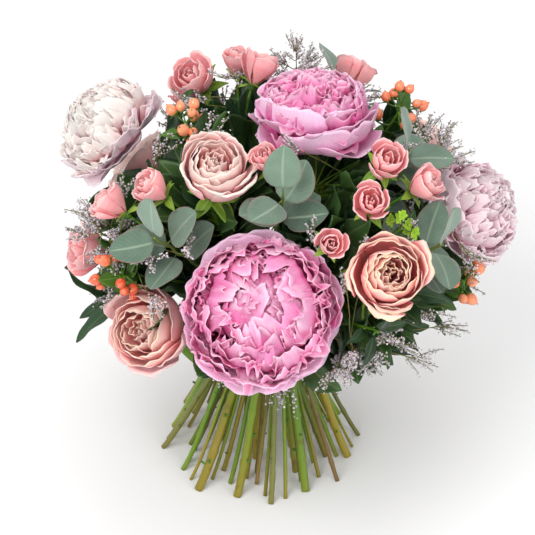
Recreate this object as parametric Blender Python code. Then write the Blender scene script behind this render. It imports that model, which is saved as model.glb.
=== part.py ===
"""Hand-tied spiral bouquet of peonies, roses, berries and greenery, standing on its cut stem ends.

Metres, +Z up. Every stem is a straight ruling of one of three nested hyperboloids that share a
waist inside the binding tape, so the stems spiral past each other without touching. Above the
waist each stem fans out to its flower on a domed head. The stem ends are cut level at Z = 0.
"""

import itertools
import math

import bmesh
import bpy
import numpy as np
from mathutils import Matrix, Vector

MM = 0.001

# ---- Driving dimensions -------------------------------------------------------------------------

HEAD_RADIUS = 200 * MM  # of the domed head, seen from above
HEAD_RISE = 140 * MM  # from the middle of the head to its crown
HEAD_MIDDLE = 262 * MM  # height of the middle of the head above the floor
HEAD_SHIFT = 20 * MM  # the head leans this far towards +X
WAIST_HEIGHT = 150 * MM  # of the tape above the floor
RING_COUNTS = (5, 10, 16)  # stems in the inner, middle and outer ring
RING_BASE_RADII = (32 * MM, 58 * MM, 84 * MM)  # where each ring meets the floor
RING_CUTS = (5 * MM, 2 * MM, 0.0)  # the inner stems are cut this much shorter
BASE_STAGGER = 8 * MM  # every second end of a ring stands this much further out
CLEARANCE = 0.4 * MM  # between pieces that touch in the real bouquet
ROOM = 1.6 * MM  # kept between flowers and stems as they settle

TAPE_HEIGHT = 14 * MM
TAPE_WALL = 1.2 * MM
STRAIGHT_ABOVE = 7 * MM  # the stems start to bend this far above the tape

PEONY_STEM_RADIUS = 3.9 * MM
ROSE_STEM_RADIUS = 3.7 * MM
SPRAY_STEM_RADIUS = 3.0 * MM
PEDICEL_RADIUS = 1.3 * MM
HYPERICUM_STEM_RADIUS = 2.3 * MM
EUCALYPTUS_STEM_RADIUS = 2.5 * MM
LIMONIUM_STEM_RADIUS = 2.0 * MM
FOLIAGE_STEM_RADIUS = 2.6 * MM

PEONY_HEIGHT_SHARE = 0.8  # height of a peony over its diameter
ROSE_HEIGHT_SHARE = 0.86
PETAL_WALL = 3.2 * MM  # of a peony's guard petals
BOWL_SHARE = 0.62  # depth of the bowl of guard petals over the height of the peony
BERRY = (13 * MM, 10 * MM)  # length, width
FLORET = (14 * MM, 13 * MM)
LEAF_THICKNESS = 1.6 * MM
EUCALYPTUS_LEAF = (42 * MM, 32 * MM)
HYPERICUM_LEAF = (28 * MM, 13 * MM)
BROAD_LEAF = (60 * MM, 26 * MM)
NARROW_LEAF = (32 * MM, 11 * MM)
BUPLEURUM_LEAF = (17 * MM, 13 * MM)

# Each flower: azimuth and polar angle of its place on the dome, then the tilt and azimuth that it
# faces, all in degrees. Azimuth 0 is +X and -90 is the front. Then come the depth of its middle
# below the dome, its diameter and its material.
PEONIES = {
    "front": (-96, 85, 42, -95, 55 * MM, 154 * MM, "peony_pink"),
    "top": (38, 13, 14, 95, 50 * MM, 134 * MM, "peony_pink"),
    "left": (154, 71, 48, 165, 22 * MM, 114 * MM, "peony_pale"),
    "right": (2, 88, 55, -5, 34 * MM, 112 * MM, "peony_pale"),
    "back": (92, 104, 62, 92, 48 * MM, 126 * MM, "peony_pink"),
}
ROSES = {
    "left": (-138, 116, 60, -128, 34 * MM, 86 * MM, "rose_cream"),
    "centre": (-136, 30, 18, -80, 30 * MM, 74 * MM, "rose_blush"),
    "right": (-58, 70, 46, -75, 32 * MM, 80 * MM, "rose_cream"),
    "back_left": (138, 106, 64, 138, 32 * MM, 78 * MM, "rose_blush"),
    "back_right": (46, 98, 62, 46, 32 * MM, 78 * MM, "rose_cream"),
}
# Each small rose of a branched stem: the same four angles and its diameter. Its face is on the dome.
SPRAYS = {
    "top": ((123, 54, 36, -140, 48 * MM), (108, 48, 18, 90, 34 * MM), (104, 28, 40, 60, 38 * MM)),
    "left": ((-150, 45, 48, -175, 38 * MM), (-162, 63, 58, 170, 38 * MM), (-171, 97, 76, -165, 48 * MM)),
    "right": (
        (-26, 36, 30, -60, 42 * MM),
        (-23, 47, 46, -35, 38 * MM),
        (-50, 42, 35, -85, 40 * MM),
        (-73, 51, 42, -80, 30 * MM),
        (-106, 21, 22, -50, 32 * MM),
    ),
    "back": ((68, 66, 56, 68, 42 * MM), (118, 78, 60, 118, 40 * MM)),
}
# Each leafy or berried stem: azimuth and polar angle of its tip, which is this far below the dome.
HYPERICUM_DEPTH = 20 * MM
LIMONIUM_DEPTH = 26 * MM
LEAFY_DEPTH = 18 * MM
HYPERICUM = {"top_left": (172, 30), "top_right": (30, 45), "left": (-149, 86), "right": (-18, 104)}
EUCALYPTUS = {
    "centre": (-90, 32),
    "left": (-138, 60),
    "right": (-32, 70),
    "top_right": (-8, 40),
    "back": (70, 70),
}
LIMONIUM = {"left": (-164, 80), "top": (84, 44), "right": (4, 56), "front": (-68, 104), "back": (116, 112)}
FOLIAGE = {"left": (-158, 110), "right": (-62, 92)}
BUPLEURUM = {"tip": (-43, 55)}

COLOURS = {
    "peony_pink": (0.80, 0.33, 0.58),
    "peony_pale": (0.90, 0.74, 0.78),
    "rose_cream": (0.90, 0.56, 0.42),
    "rose_blush": (0.88, 0.60, 0.56),
    "spray_coral": (0.86, 0.30, 0.30),
    "berry": (0.85, 0.30, 0.16),
    "eucalyptus": (0.25, 0.36, 0.27),
    "limonium": (0.42, 0.36, 0.40),
    "foliage": (0.08, 0.19, 0.05),
    "bupleurum": (0.33, 0.48, 0.03),
    "stem": (0.17, 0.27, 0.04),
    "tape": (0.30, 0.24, 0.13),
}
ROUGHNESS = {"berry": 0.25, "tape": 0.8}
MATTE = 0.55

# ---- How the stems settle and how finely shapes are made ----------------------------------------

STEM_STEPS = 10  # lengths of a stem above the waist
PEDICEL_STEPS = 4
LIFT_SHARE, DIP_SHARE = 0.4, 0.3  # of a stem's reach that it runs on straight at its two ends
SETTLE_ROUNDS = 170
SMOOTH_ROUNDS = 130  # the rounds that also straighten the stems
PULL_HOME = 0.05  # share of the way back to its own place that a flower goes each round
STRAIGHTEN = 0.25
PUSH = 0.45  # share of each overlap that a round undoes
FLOWER_GIVE = 0.15  # how far a flower gives way, against 1 for a stem
BRANCH_SHARE = 0.55  # how far up towards its flowers a spray rose branches
STEM_TAPER = 0.8  # radius at the top of a stem over that at its foot
WELD = 0.01 * MM  # joins the caps of a tube to its wall
BELOW_FLOOR = 10 * MM  # a stem is made this much too long, then cut

PEONY_SIDES, PEONY_RINGS = 16, 8
ROSE_SIDES, ROSE_RINGS = 12, 7
SPRAY_SIDES, SPRAY_RINGS = 10, 6
BERRY_SIDES, BERRY_RINGS = 5, 5
LEAF_SIDES, LEAF_RINGS = 4, 5
TAPE_SIDES = 24
SHARP_ANGLE = 50  # degrees between faces from which an edge looks sharp


def unit(tilt, azimuth):
    """The direction leaning tilt degrees from the vertical towards azimuth."""
    tilt, azimuth = math.radians(tilt), math.radians(azimuth)
    return Vector((math.sin(tilt) * math.cos(azimuth), math.sin(tilt) * math.sin(azimuth), math.cos(tilt)))


def on_dome(azimuth, polar, depth):
    """The point depth below the surface of the domed head."""
    way = unit(polar, azimuth)
    across, up = HEAD_RADIUS - depth, HEAD_RISE - depth
    return Vector((HEAD_SHIFT + across * way.x, across * way.y, HEAD_MIDDLE + up * way.z))


def curve_points(start, lift, dip, end, steps):
    """Points along the cubic curve that leaves start towards lift and reaches end from dip."""
    points = []
    for i in range(steps + 1):
        t = i / steps
        shares = ((1 - t) ** 3, 3 * t * (1 - t) ** 2, 3 * t * t * (1 - t), t**3)
        points.append(sum((p * s for p, s in zip((start, lift, dip, end), shares)), Vector()))
    return points


class Plant:
    """One stem and what it carries: its middle, the way it faces, its size and its height."""

    def __init__(self, name, place, face, size, height, stem_radius, material="stem"):
        self.name = name
        self.home = self.middle = place
        self.face = face
        self.size = size
        self.height = height
        self.stem_radius = stem_radius
        self.material = material
        self.spray = None
        self.path = []

    def foot(self):
        """Where the stem ends, just below a flower or at the tip of a sprig."""
        return self.middle - self.face * (self.height / 2 + CLEARANCE if self.height else 0.0)


def flower_plants(prefix, table, height_share, stem_radius):
    plants = []
    for name, (azimuth, polar, tilt, towards, depth, size, material) in table.items():
        height = size * height_share
        place = on_dome(azimuth, polar, depth)
        plants.append(Plant(prefix + name, place, unit(tilt, towards), size, height, stem_radius, material))
    return plants


SPRIG_SIZE = 12 * MM  # room kept around the tip of a leafy or berried stem
SPRIG_LEAN = 0.8  # its lean over that of the dome


def sprig_plants(prefix, table, stem_radius, depth, material):
    plants = []
    for name, (azimuth, polar) in table.items():
        place = on_dome(azimuth, polar, depth)
        face = unit(polar * SPRIG_LEAN, azimuth)
        plants.append(Plant(prefix + name, place, face, SPRIG_SIZE, 0.0, stem_radius, material))
    return plants


def spray_plants():
    """The branched stems, each ending where it branches, and the small roses that they carry."""
    stems, flowers = [], []
    waist = Vector((0, 0, WAIST_HEIGHT))
    for name, roses in SPRAYS.items():
        group = []
        for number, (azimuth, polar, tilt, towards, size) in enumerate(roses, 1):
            height = size * ROSE_HEIGHT_SHARE
            place = on_dome(azimuth, polar, height / 2)
            title = f"spray_rose_{name}_{number}"
            face = unit(tilt, towards)
            group.append(Plant(title, place, face, size, height, PEDICEL_RADIUS, "spray_coral"))
        middle = sum((flower.foot() for flower in group), Vector()) / len(group)
        face = (middle - waist).normalized()
        place = waist.lerp(middle, BRANCH_SHARE)
        stem = Plant(f"spray_rose_{name}_stem", place, face, 0.0, 0.0, SPRAY_STEM_RADIUS)
        stems.append(stem)
        for flower in group:
            flower.spray = stem
        flowers += group
    return stems, flowers


# ---- Spiral stems -------------------------------------------------------------------------------


def ring_radii():
    """Waist radius of each ring: as tight as its stems allow, and clear of the ring inside it."""
    pitch = 2 * PEONY_STEM_RADIUS + CLEARANCE
    radii = []
    for count, base in zip(RING_COUNTS, RING_BASE_RADII):
        lean = math.cos(math.atan(base / WAIST_HEIGHT))
        needed = pitch / (2 * math.sin(math.pi / count) * lean)
        radii.append(max(needed, radii[-1] + pitch if radii else 0.0))
    return radii


def touch_angle(place, radius):
    """Where the tangent line that passes under the place touches the waist circle."""
    away = max(math.hypot(place.x, place.y), radius)
    return math.atan2(place.y, place.x) - math.acos(radius / away)


def lean_of(plant):
    """How far the way from the waist to the flower leans from the vertical."""
    return math.atan2(math.hypot(plant.home.x, plant.home.y), plant.home.z - WAIST_HEIGHT)


def share_rings(plants):
    """Gives each stem a ring, upright stems inside, and a slot in it, in the order of the flowers."""
    upright_first = sorted(plants, key=lean_of)
    start = 0
    for ring, (count, radius) in enumerate(zip(RING_COUNTS, ring_radii())):
        members = upright_first[start : start + count]
        start += count
        members.sort(key=lambda p: touch_angle(p.home, radius) % math.tau)
        step = math.tau / len(members)
        drift = [touch_angle(p.home, radius) - i * step for i, p in enumerate(members)]
        turn = math.atan2(sum(map(math.sin, drift)), sum(map(math.cos, drift)))
        for i, plant in enumerate(members):
            plant.slot = turn + i * step
            plant.waist_radius = radius
            plant.base_radius = RING_BASE_RADII[ring] + BASE_STAGGER * (i % 2)
            plant.cut = RING_CUTS[ring]


def ruling_point(plant, height):
    """A point of the straight part of the stem."""
    run = math.sqrt(max(plant.base_radius**2 - plant.waist_radius**2, 0.0))
    along = run * (height - WAIST_HEIGHT) / WAIST_HEIGHT
    outward = Vector((math.cos(plant.slot), math.sin(plant.slot), 0))
    tangent = Vector((-outward.y, outward.x, 0))
    return outward * plant.waist_radius + tangent * along + Vector((0, 0, height))


def first_paths(plants, flowers):
    """A smooth path for each stem above the waist, and for each pedicel above its branched stem."""
    for plant in plants:
        start = ruling_point(plant, WAIST_HEIGHT + TAPE_HEIGHT / 2 + STRAIGHT_ABOVE)
        lean = (start - ruling_point(plant, 0)).normalized()
        reach = (plant.foot() - start).length
        lift, dip = start + lean * reach * LIFT_SHARE, plant.foot() - plant.face * reach * DIP_SHARE
        plant.path = curve_points(start, lift, dip, plant.foot(), STEM_STEPS)
    for stem in (plant for plant in plants if plant.size == 0.0):
        group = [flower for flower in flowers if flower.spray is stem]
        turn = stem.face.to_track_quat("Z", "Y")
        local = [turn.inverted() @ (flower.foot() - stem.middle) for flower in group]
        order = sorted(range(len(group)), key=lambda i: math.atan2(local[i].y, local[i].x))
        first = math.atan2(local[order[0]].y, local[order[0]].x)
        for place, i in enumerate(order):
            angle = first + place * math.tau / len(group)
            ring = SPRAY_STEM_RADIUS
            offset = Vector((math.cos(angle) * ring, math.sin(angle) * ring, 2 * PEDICEL_RADIUS))
            start = stem.middle + turn @ offset
            flower = group[i]
            reach = (flower.foot() - start).length
            lift = start + stem.face * reach * DIP_SHARE
            dip = flower.foot() - flower.face * reach * DIP_SHARE
            flower.path = curve_points(start, lift, dip, flower.foot(), PEDICEL_STEPS)


def nearest_shares(a, b, c, d):
    """How far along a-b and c-d their nearest points lie, as shares. Each row is one pair."""
    u, v, w = b - a, d - c, a - c
    uu, vv, uv = (u * u).sum(1) + 1e-12, (v * v).sum(1) + 1e-12, (u * v).sum(1)
    uw, vw = (u * w).sum(1), (v * w).sum(1)
    s = np.clip((uv * vw - vv * uw) / np.maximum(uu * vv - uv * uv, 1e-3 * uu * vv), 0, 1)
    t = np.clip((uv * s + vw) / vv, 0, 1)
    return np.clip((uv * t - uw) / uu, 0, 1), t


def pushed_apart(spots, give, first, second, reach):
    """Moves the ends of each pair of links that are nearer than reach. A flower is a link of no length."""
    ends = (first[:, 0], first[:, 1], second[:, 0], second[:, 1])
    s, t = nearest_shares(*(spots[end] for end in ends))
    shares = (1 - s, s, t - 1, -t)
    between = sum(spots[end] * share[:, None] for end, share in zip(ends, shares))
    far = np.linalg.norm(between, axis=1) + 1e-9
    near = far < reach
    spread = sum(give[end] * share**2 for end, share in zip(ends, shares))
    amount = np.where(near & (spread > 0), PUSH * (reach - far) / far / np.maximum(spread, 1e-6), 0.0)
    for end, share in zip(ends, shares):
        np.add.at(spots, end, between * (amount * share * give[end])[:, None])


def settle(plants):
    """Lets flowers and stems push each other aside until none touch."""
    spots, give, owners, links, radii, tops = [], [], [], [], [], []
    for owner, plant in enumerate(plants):
        fixed = 1 if plant.spray or plant.size else len(plant.path)
        for i, point in enumerate(plant.path):
            if i:
                links.append((len(spots) - 1, len(spots)))
                owners.append(owner)
                radii.append(plant.stem_radius)
            give.append(0.0 if i < fixed or plant.size == 0.0 else 1.0)
            spots.append(point)
        tops.append(len(spots))
        spots.append(plant.middle)
        give.append(FLOWER_GIVE if plant.size else 0.0)
        if plant.size:
            links.append((tops[-1], tops[-1]))
            owners.append(owner)
            radii.append(plant.size / 2)
    spots = np.array([tuple(p) for p in spots])
    give, owners, links, radii, tops = map(np.array, (give, owners, links, radii, tops))
    sprays = np.array([plants.index(p.spray) if p.spray else -2 - i for i, p in enumerate(plants)])
    one, two = np.triu_indices(len(links), 1)
    related = (owners[one] == owners[two]) | (sprays[owners[one]] == sprays[owners[two]])
    related |= (sprays[owners[one]] == owners[two]) | (sprays[owners[two]] == owners[one])
    both_flowers = (links[one, 0] == links[one, 1]) & (links[two, 0] == links[two, 1])
    tested = (~related | both_flowers) & (owners[one] != owners[two])
    one, two = one[tested], two[tested]
    reach = radii[one] + radii[two] + ROOM
    moving = np.array([i for i, p in enumerate(plants) if p.size])
    homes = np.array([tuple(plants[i].home) for i in moving])
    faces = np.array([tuple(plants[i].face) for i in moving])
    drops = np.array([(plants[i].middle - plants[i].foot()).length for i in moving])[:, None]
    backs = np.array([(plants[i].path[-1] - plants[i].path[-2]).length for i in moving])[:, None]
    inner = np.concatenate([np.arange(tops[i] - len(plants[i].path) + 1, tops[i] - 2) for i in moving])
    heads = tops[moving]
    for turn in range(SETTLE_ROUNDS):
        pushed_apart(spots, give, links[one], links[two], reach)
        spots[heads] += (homes - spots[heads]) * PULL_HOME
        if turn < SMOOTH_ROUNDS:
            spots[inner] += ((spots[inner - 1] + spots[inner + 1]) / 2 - spots[inner]) * STRAIGHTEN
        spots[heads - 1] = spots[heads] - faces * drops
        spots[heads - 2] = spots[heads - 1] - faces * backs
    for plant, top in zip(plants, tops):
        plant.middle = Vector(spots[top])
        plant.path = [Vector(p) for p in spots[top - len(plant.path) : top]]


# ---- Free room for leaves and berries -----------------------------------------------------------


class Room:
    """What already fills the bouquet. Leaves and berries look for the places that are left."""

    def __init__(self, plants):
        self.flowers = []
        self.ends = []
        self.radii = []
        self.filled = np.empty((0, 3))
        self.sprigs = {}
        for plant in plants:
            path = plant.path if plant.spray else [ruling_point(plant, 0)] + plant.path
            for a, b in zip(path, path[1:]):
                self.ends.append((tuple(a), tuple(b)))
                self.radii.append(plant.stem_radius)
                self.sprigs.setdefault(plant.name, []).append(len(self.ends) - 1)
            if plant.height:
                turn = np.array(plant.face.to_track_quat("Z", "Y").to_matrix())
                shape = np.array((plant.size / 2, plant.size / 2, plant.height / 2))
                self.flowers.append((np.array(plant.middle), turn, shape))
        self.ends = np.array(self.ends)
        self.radii = np.array(self.radii)

    def is_free(self, samples, thick, own, leaving):
        """Whether points of a piece that thick are clear. Its first points may touch its own stem."""
        margin = thick / 2 + CLEARANCE
        if samples[:, 2].min() < margin:
            return False
        for middle, turn, shape in self.flowers:
            inside = ((samples - middle) @ turn) / (shape + margin + SAMPLE_GAP / 4)
            if ((inside**2).sum(1) < 1).any():
                return False
        middle = samples.mean(0)
        size = np.linalg.norm(samples - middle, axis=1).max() + margin + SAMPLE_GAP
        a, b = self.ends[:, 0], self.ends[:, 1]
        along = b - a
        share = np.clip(((middle - a) * along).sum(1) / (along * along).sum(1), 0, 1)
        near = np.linalg.norm(a + along * share[:, None] - middle, axis=1) < size + self.radii
        for i in np.flatnonzero(near):
            points = samples[leaving:] if i in own else samples
            share = np.clip((points - a[i]) @ along[i] / (along[i] @ along[i]), 0, 1)
            far = np.linalg.norm(a[i] + share[:, None] * along[i] - points, axis=1)
            if (far < self.radii[i] + margin + SAMPLE_GAP / 2).any():
                return False
        beside = self.filled[np.linalg.norm(self.filled - middle, axis=1) < size]
        if len(beside):
            gaps = np.linalg.norm(beside[:, None] - samples[None], axis=2)
            return gaps.min() > thick + SAMPLE_GAP
        return True


SAMPLE_GAP = 2.5 * MM  # spacing of the points that stand for a leaf
PITCHES = (40, 60, 25, 80, 105)  # degrees from the stem that a leaf may leave it at
ROLLS = (0, 20, -20, 40, -40, 60, -60, 85, -85, 110, -110, 140, -140, 180)  # degrees round the stem
SHRINKS = (1.0, 0.85, 0.7, 0.55, 0.4, 0.3)  # of the leaf or berry, tried in turn
STRETCHES = (1.0, 1.8, 3.0)  # of its stalk, tried in turn
STALK_RADIUS = 0.8 * MM


def find_place(room, plant, base, stem_way, roll, size, stalk, thick, is_round):
    """The first free place for a leaf or a berry that leaves the stem at base: a matrix and a size."""
    own = room.sprigs[plant.name]
    outward = (base - Vector((HEAD_SHIFT, 0, HEAD_MIDDLE - HEAD_RISE))).normalized()
    lean = outward - stem_way * outward.dot(stem_way)
    leaving = math.ceil((plant.stem_radius + thick + SAMPLE_GAP) / SAMPLE_GAP)
    for shrink, stretch, pitch, more in itertools.product(SHRINKS, STRETCHES, PITCHES, ROLLS):
        length, width, reach = size[0] * shrink, size[1] * shrink, stalk * stretch
        about = Matrix.Rotation(math.radians(roll + more), 3, stem_way) @ lean.normalized()
        tilt = math.radians(pitch)
        way = (stem_way * math.cos(tilt) + about * math.sin(tilt)).normalized()
        side = way.cross(outward).normalized()
        samples = piece_samples(base, way, side, length, width, reach, is_round)
        if room.is_free(samples, thick, own, leaving):
            room.filled = np.concatenate([room.filled, samples[leaving:]])
            turn = Matrix((side, way.cross(side), way)).transposed().to_4x4()
            return Matrix.Translation(base) @ turn, length, width, reach
    raise ValueError(f"{plant.name} has no room for a leaf")


def piece_samples(base, way, side, length, width, stalk, is_round):
    """Points that stand for a stalk and the leaf or berry on it, from the base outwards."""
    points = []
    for i in range(int((stalk + length) / SAMPLE_GAP) + 2):
        along = min(i * SAMPLE_GAP, stalk + length)
        share = max(0.0, (along - stalk) / length) * 2 - 1
        half = width / 2 * math.sqrt(max(0.0, 1 - share * share)) if along > stalk else 0.0
        steps = int(half / SAMPLE_GAP)
        for k in range(-steps, steps + 1):
            points.append(base + way * along + side * (half * k / max(steps, 1)))
            if is_round and steps:
                points.append(base + way * along + way.cross(side) * (half * k / steps))
    return np.array([tuple(p) for p in points])


# ---- Shapes -------------------------------------------------------------------------------------


def remade_ball(shape, sides, rings, matrix):
    """A ball whose points are moved by shape(angle, rise), where rise runs 0 to 1 from pole to pole."""
    bm = bmesh.new()
    bmesh.ops.create_uvsphere(bm, u_segments=sides, v_segments=rings, radius=1)
    for vert in bm.verts:
        rise = math.acos(max(-1.0, min(1.0, -vert.co.z))) / math.pi
        vert.co = matrix @ Vector(shape(math.atan2(vert.co.y, vert.co.x), rise))
    return bm


GUARD_LOBES, GUARD_CUT = 6, 0.06  # petals round the rim, and how far in it runs between them
RUFFLES, RUFFLE_DEPTH, RUFFLE_TWIST = 5, 0.07, 9  # of the inner petals
ROSE_LOBES, ROSE_CUT = 5, 0.05
ROSE_FULLNESS = 0.8  # under 1 a rose is squarer in section than a ball
ROSE_FOOT, ROSE_FULL_RISE = 0.78, 0.6  # width at the foot over the full width, and where that is reached
ROSE_SINK, SINK_RISE = 0.07, 0.62  # depth of the dip in a rose's top, and where it starts
NECK_WIDTH, NECK_HEIGHT = 0.3, 0.06  # of a berry, as shares of its width and length
LEAF_SWELL = 0.8  # under 1 a leaf is widest nearer its stalk
POLE_RISE, STALK_RISE = 0.1, 0.25  # the rings of a berry's ball that make its foot and its stalk


def peony_lobes(angle, reach):
    return 1 - GUARD_CUT * reach * (1 - math.cos(GUARD_LOBES * angle)) / 2


def guard_petals(size, height):
    """A lobed bowl. The first half of the ball is its outside and the second half its inside."""
    depth = height * BOWL_SHARE

    def shape(angle, rise):
        polar = math.pi * (rise if rise < 0.5 else 1 - rise)
        wall = 0.0 if rise <= 0.5 else PETAL_WALL
        across, deep = size / 2 - wall, depth - wall
        radius = across * math.sin(polar) * peony_lobes(angle, math.sin(polar))
        return radius * math.cos(angle), radius * math.sin(angle), depth - height / 2 - deep * math.cos(polar)

    return shape


def inner_petals(size, height):
    """A ruffled dome that fills the bowl of guard petals."""
    depth = height * BOWL_SHARE
    inset = PETAL_WALL + CLEARANCE

    def shape(angle, rise):
        polar = math.pi * rise
        across = size / 2 - inset
        below = rise < 0.5
        deep = depth - inset if below else height - depth
        ripple = RUFFLE_DEPTH * math.sin(polar) * math.cos(RUFFLES * angle + RUFFLE_TWIST * rise)
        ruffle = 0.0 if below else ripple
        radius = across * math.sin(polar) * (peony_lobes(angle, math.sin(polar)) - abs(ruffle))
        up = depth - height / 2 - deep * math.cos(polar) * (1 + ruffle)
        return radius * math.cos(angle), radius * math.sin(angle), up

    return shape


def rose_bloom(size, height):
    """A deep cup of petals, narrow below, whose top sinks round a raised middle."""

    def shape(angle, rise):
        polar = math.pi * rise
        lobes = 1 - ROSE_CUT * math.sin(polar) * (1 + math.cos(ROSE_LOBES * angle)) / 2
        narrow = ROSE_FOOT + (1 - ROSE_FOOT) * min(1.0, rise / ROSE_FULL_RISE)
        radius = size / 2 * math.sin(polar) ** ROSE_FULLNESS * lobes * narrow
        sunk = max(0.0, rise - SINK_RISE) / (1 - SINK_RISE)
        sink = ROSE_SINK * height * math.sin(math.pi * sunk)
        return radius * math.cos(angle), radius * math.sin(angle), -height / 2 * math.cos(polar) - sink

    return shape


def club(length, width, stalk):
    """A berry or a tuft of florets on a stalk, both drawn from one ball."""

    def shape(angle, rise):
        if rise < POLE_RISE:
            return 0.0, 0.0, 0.0
        if rise < 0.5:
            first = rise < STALK_RISE
            radius = STALK_RADIUS if first else max(STALK_RADIUS, width * NECK_WIDTH)
            up = STALK_RADIUS if first else stalk + length * NECK_HEIGHT
        else:
            radius = width / 2 * math.sin(math.pi * rise)
            up = stalk + length * (1 - math.cos(math.pi * rise)) / 2
        return radius * math.cos(angle), radius * math.sin(angle), up

    return shape


def leaf_blade(length, width, stalk):
    """A thin leaf on a short stalk, lying across Y, with its tip at +Z."""

    def shape(angle, rise):
        up = rise * (stalk + length)
        share = max(0.0, (up - stalk) / length)
        half = max(STALK_RADIUS, width / 2 * math.sin(math.pi * share**LEAF_SWELL)) if 0 < rise < 1 else 0.0
        thick = LEAF_THICKNESS / 2 if 0 < rise < 1 else 0.0
        return half * math.cos(angle), thick * math.sin(angle), up

    return shape


# ---- Objects ------------------------------------------------------------------------------------


def material(name):
    made = bpy.data.materials.new(name)
    made.use_nodes = True
    shader = made.node_tree.nodes["Principled BSDF"]
    shader.inputs["Base Color"].default_value = (*COLOURS[name], 1)
    shader.inputs["Roughness"].default_value = ROUGHNESS.get(name, MATTE)
    shader.inputs["Metallic"].default_value = 0
    return made


class Maker:
    """Makes the objects of the bouquet, each in its collection and with its material."""

    def __init__(self):
        for obj in list(bpy.data.objects):
            bpy.data.objects.remove(obj)
        self.parts = self.collection("bouquet")
        self.helpers = self.collection("bouquet_joined_shapes")

    def collection(self, name):
        made = bpy.data.collections.new(name)
        bpy.context.scene.collection.children.link(made)
        return made

    def part(self, name, bm, slot, collection=None):
        """Makes one object of the mesh, with a material of its own."""
        mesh = bpy.data.meshes.new(name)
        bm.to_mesh(mesh)
        bm.free()
        mesh.shade_smooth()
        mesh.set_sharp_from_angle(angle=math.radians(SHARP_ANGLE))
        mesh.materials.append(material(slot))
        obj = bpy.data.objects.new(name, mesh)
        (collection or self.parts).objects.link(obj)
        return obj

    def helper(self, name, bm, slot):
        """A shape that only ever shows as part of the object it is joined to."""
        obj = self.part(name, bm, slot, self.helpers)
        obj.hide_render = True
        obj.display_type = "WIRE"
        return obj

    def tube(self, points, radius, taper):
        """A round stem along the points as a mesh with welded ends."""
        curve = bpy.data.curves.new("stem_curve", "CURVE")
        curve.dimensions = "3D"
        curve.bevel_depth = radius
        curve.bevel_resolution = 1
        curve.use_fill_caps = True
        spline = curve.splines.new("POLY")
        spline.points.add(len(points) - 1)
        for i, point in enumerate(points):
            spline.points[i].co = (*point, 1)
            spline.points[i].radius = 1 + (taper - 1) * i / (len(points) - 1)
        guide = bpy.data.objects.new("stem_curve", curve)
        self.helpers.objects.link(guide)
        graph = bpy.context.evaluated_depsgraph_get()
        mesh = bpy.data.meshes.new_from_object(guide.evaluated_get(graph))
        bm = bmesh.new()
        bm.from_mesh(mesh)
        bmesh.ops.remove_doubles(bm, verts=bm.verts, dist=WELD)
        bmesh.ops.recalc_face_normals(bm, faces=bm.faces)
        bpy.data.objects.remove(guide)
        bpy.data.meshes.remove(mesh)
        return bm

    def stem(self, name, plant, slot):
        """The whole stem of a plant, cut level just above the floor."""
        points = [ruling_point(plant, -BELOW_FLOOR)] + plant.path
        bm = self.tube(points, plant.stem_radius, STEM_TAPER)
        level = Vector((0, 0, plant.cut))
        geometry = bm.verts[:] + bm.edges[:] + bm.faces[:]
        up = Vector((0, 0, 1))
        cut = bmesh.ops.bisect_plane(bm, geom=geometry, plane_co=level, plane_no=up, clear_inner=True)
        edges = [item for item in cut["geom_cut"] if isinstance(item, bmesh.types.BMEdge)]
        bmesh.ops.edgeloop_fill(bm, edges=edges)
        bmesh.ops.recalc_face_normals(bm, faces=bm.faces)
        return self.part(name, bm, slot)


def unite(obj, other):
    """Joins the other object's shape to this one."""
    joined = obj.modifiers.new("joined", "BOOLEAN")
    joined.operation = "UNION"
    joined.solver = "EXACT"
    joined.object = other


def facing(plant):
    return Matrix.Translation(plant.middle) @ plant.face.to_track_quat("Z", "Y").to_matrix().to_4x4()


def make_peony(maker, plant):
    matrix = facing(plant)
    size, height = plant.size, plant.height
    bowl = remade_ball(guard_petals(size, height), PEONY_SIDES, PEONY_RINGS, matrix)
    maker.part(plant.name + "_guard_petals", bowl, plant.material)
    dome = remade_ball(inner_petals(size, height), PEONY_SIDES, PEONY_RINGS, matrix)
    maker.part(plant.name + "_inner_petals", dome, plant.material)
    maker.stem(plant.name + "_stem", plant, "stem")


def make_rose(maker, plant):
    bloom = remade_ball(rose_bloom(plant.size, plant.height), ROSE_SIDES, ROSE_RINGS, facing(plant))
    maker.part(plant.name + "_bloom", bloom, plant.material)
    maker.stem(plant.name + "_stem", plant, "stem")


def make_spray_rose(maker, plant):
    """A small rose with its pedicel, which runs up into the bloom."""
    bloom = remade_ball(rose_bloom(plant.size, plant.height), SPRAY_SIDES, SPRAY_RINGS, facing(plant))
    obj = maker.part(plant.name, bloom, plant.material)
    points = plant.path + [plant.middle]
    pedicel = maker.tube(points, plant.stem_radius, 1.0)
    unite(obj, maker.helper(plant.name + "_pedicel", pedicel, plant.material))


def along_path(path, back):
    """The point of the path that lies back from its end, and the way the path runs there."""
    for a, b in zip(reversed(path[:-1]), reversed(path)):
        length = (b - a).length
        if back <= length:
            return b.lerp(a, back / length), (b - a).normalized()
        back -= length
    raise ValueError("the path is too short")


TURN_PER_LEAF = 137  # degrees round the stem from one leaf to the next


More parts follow.
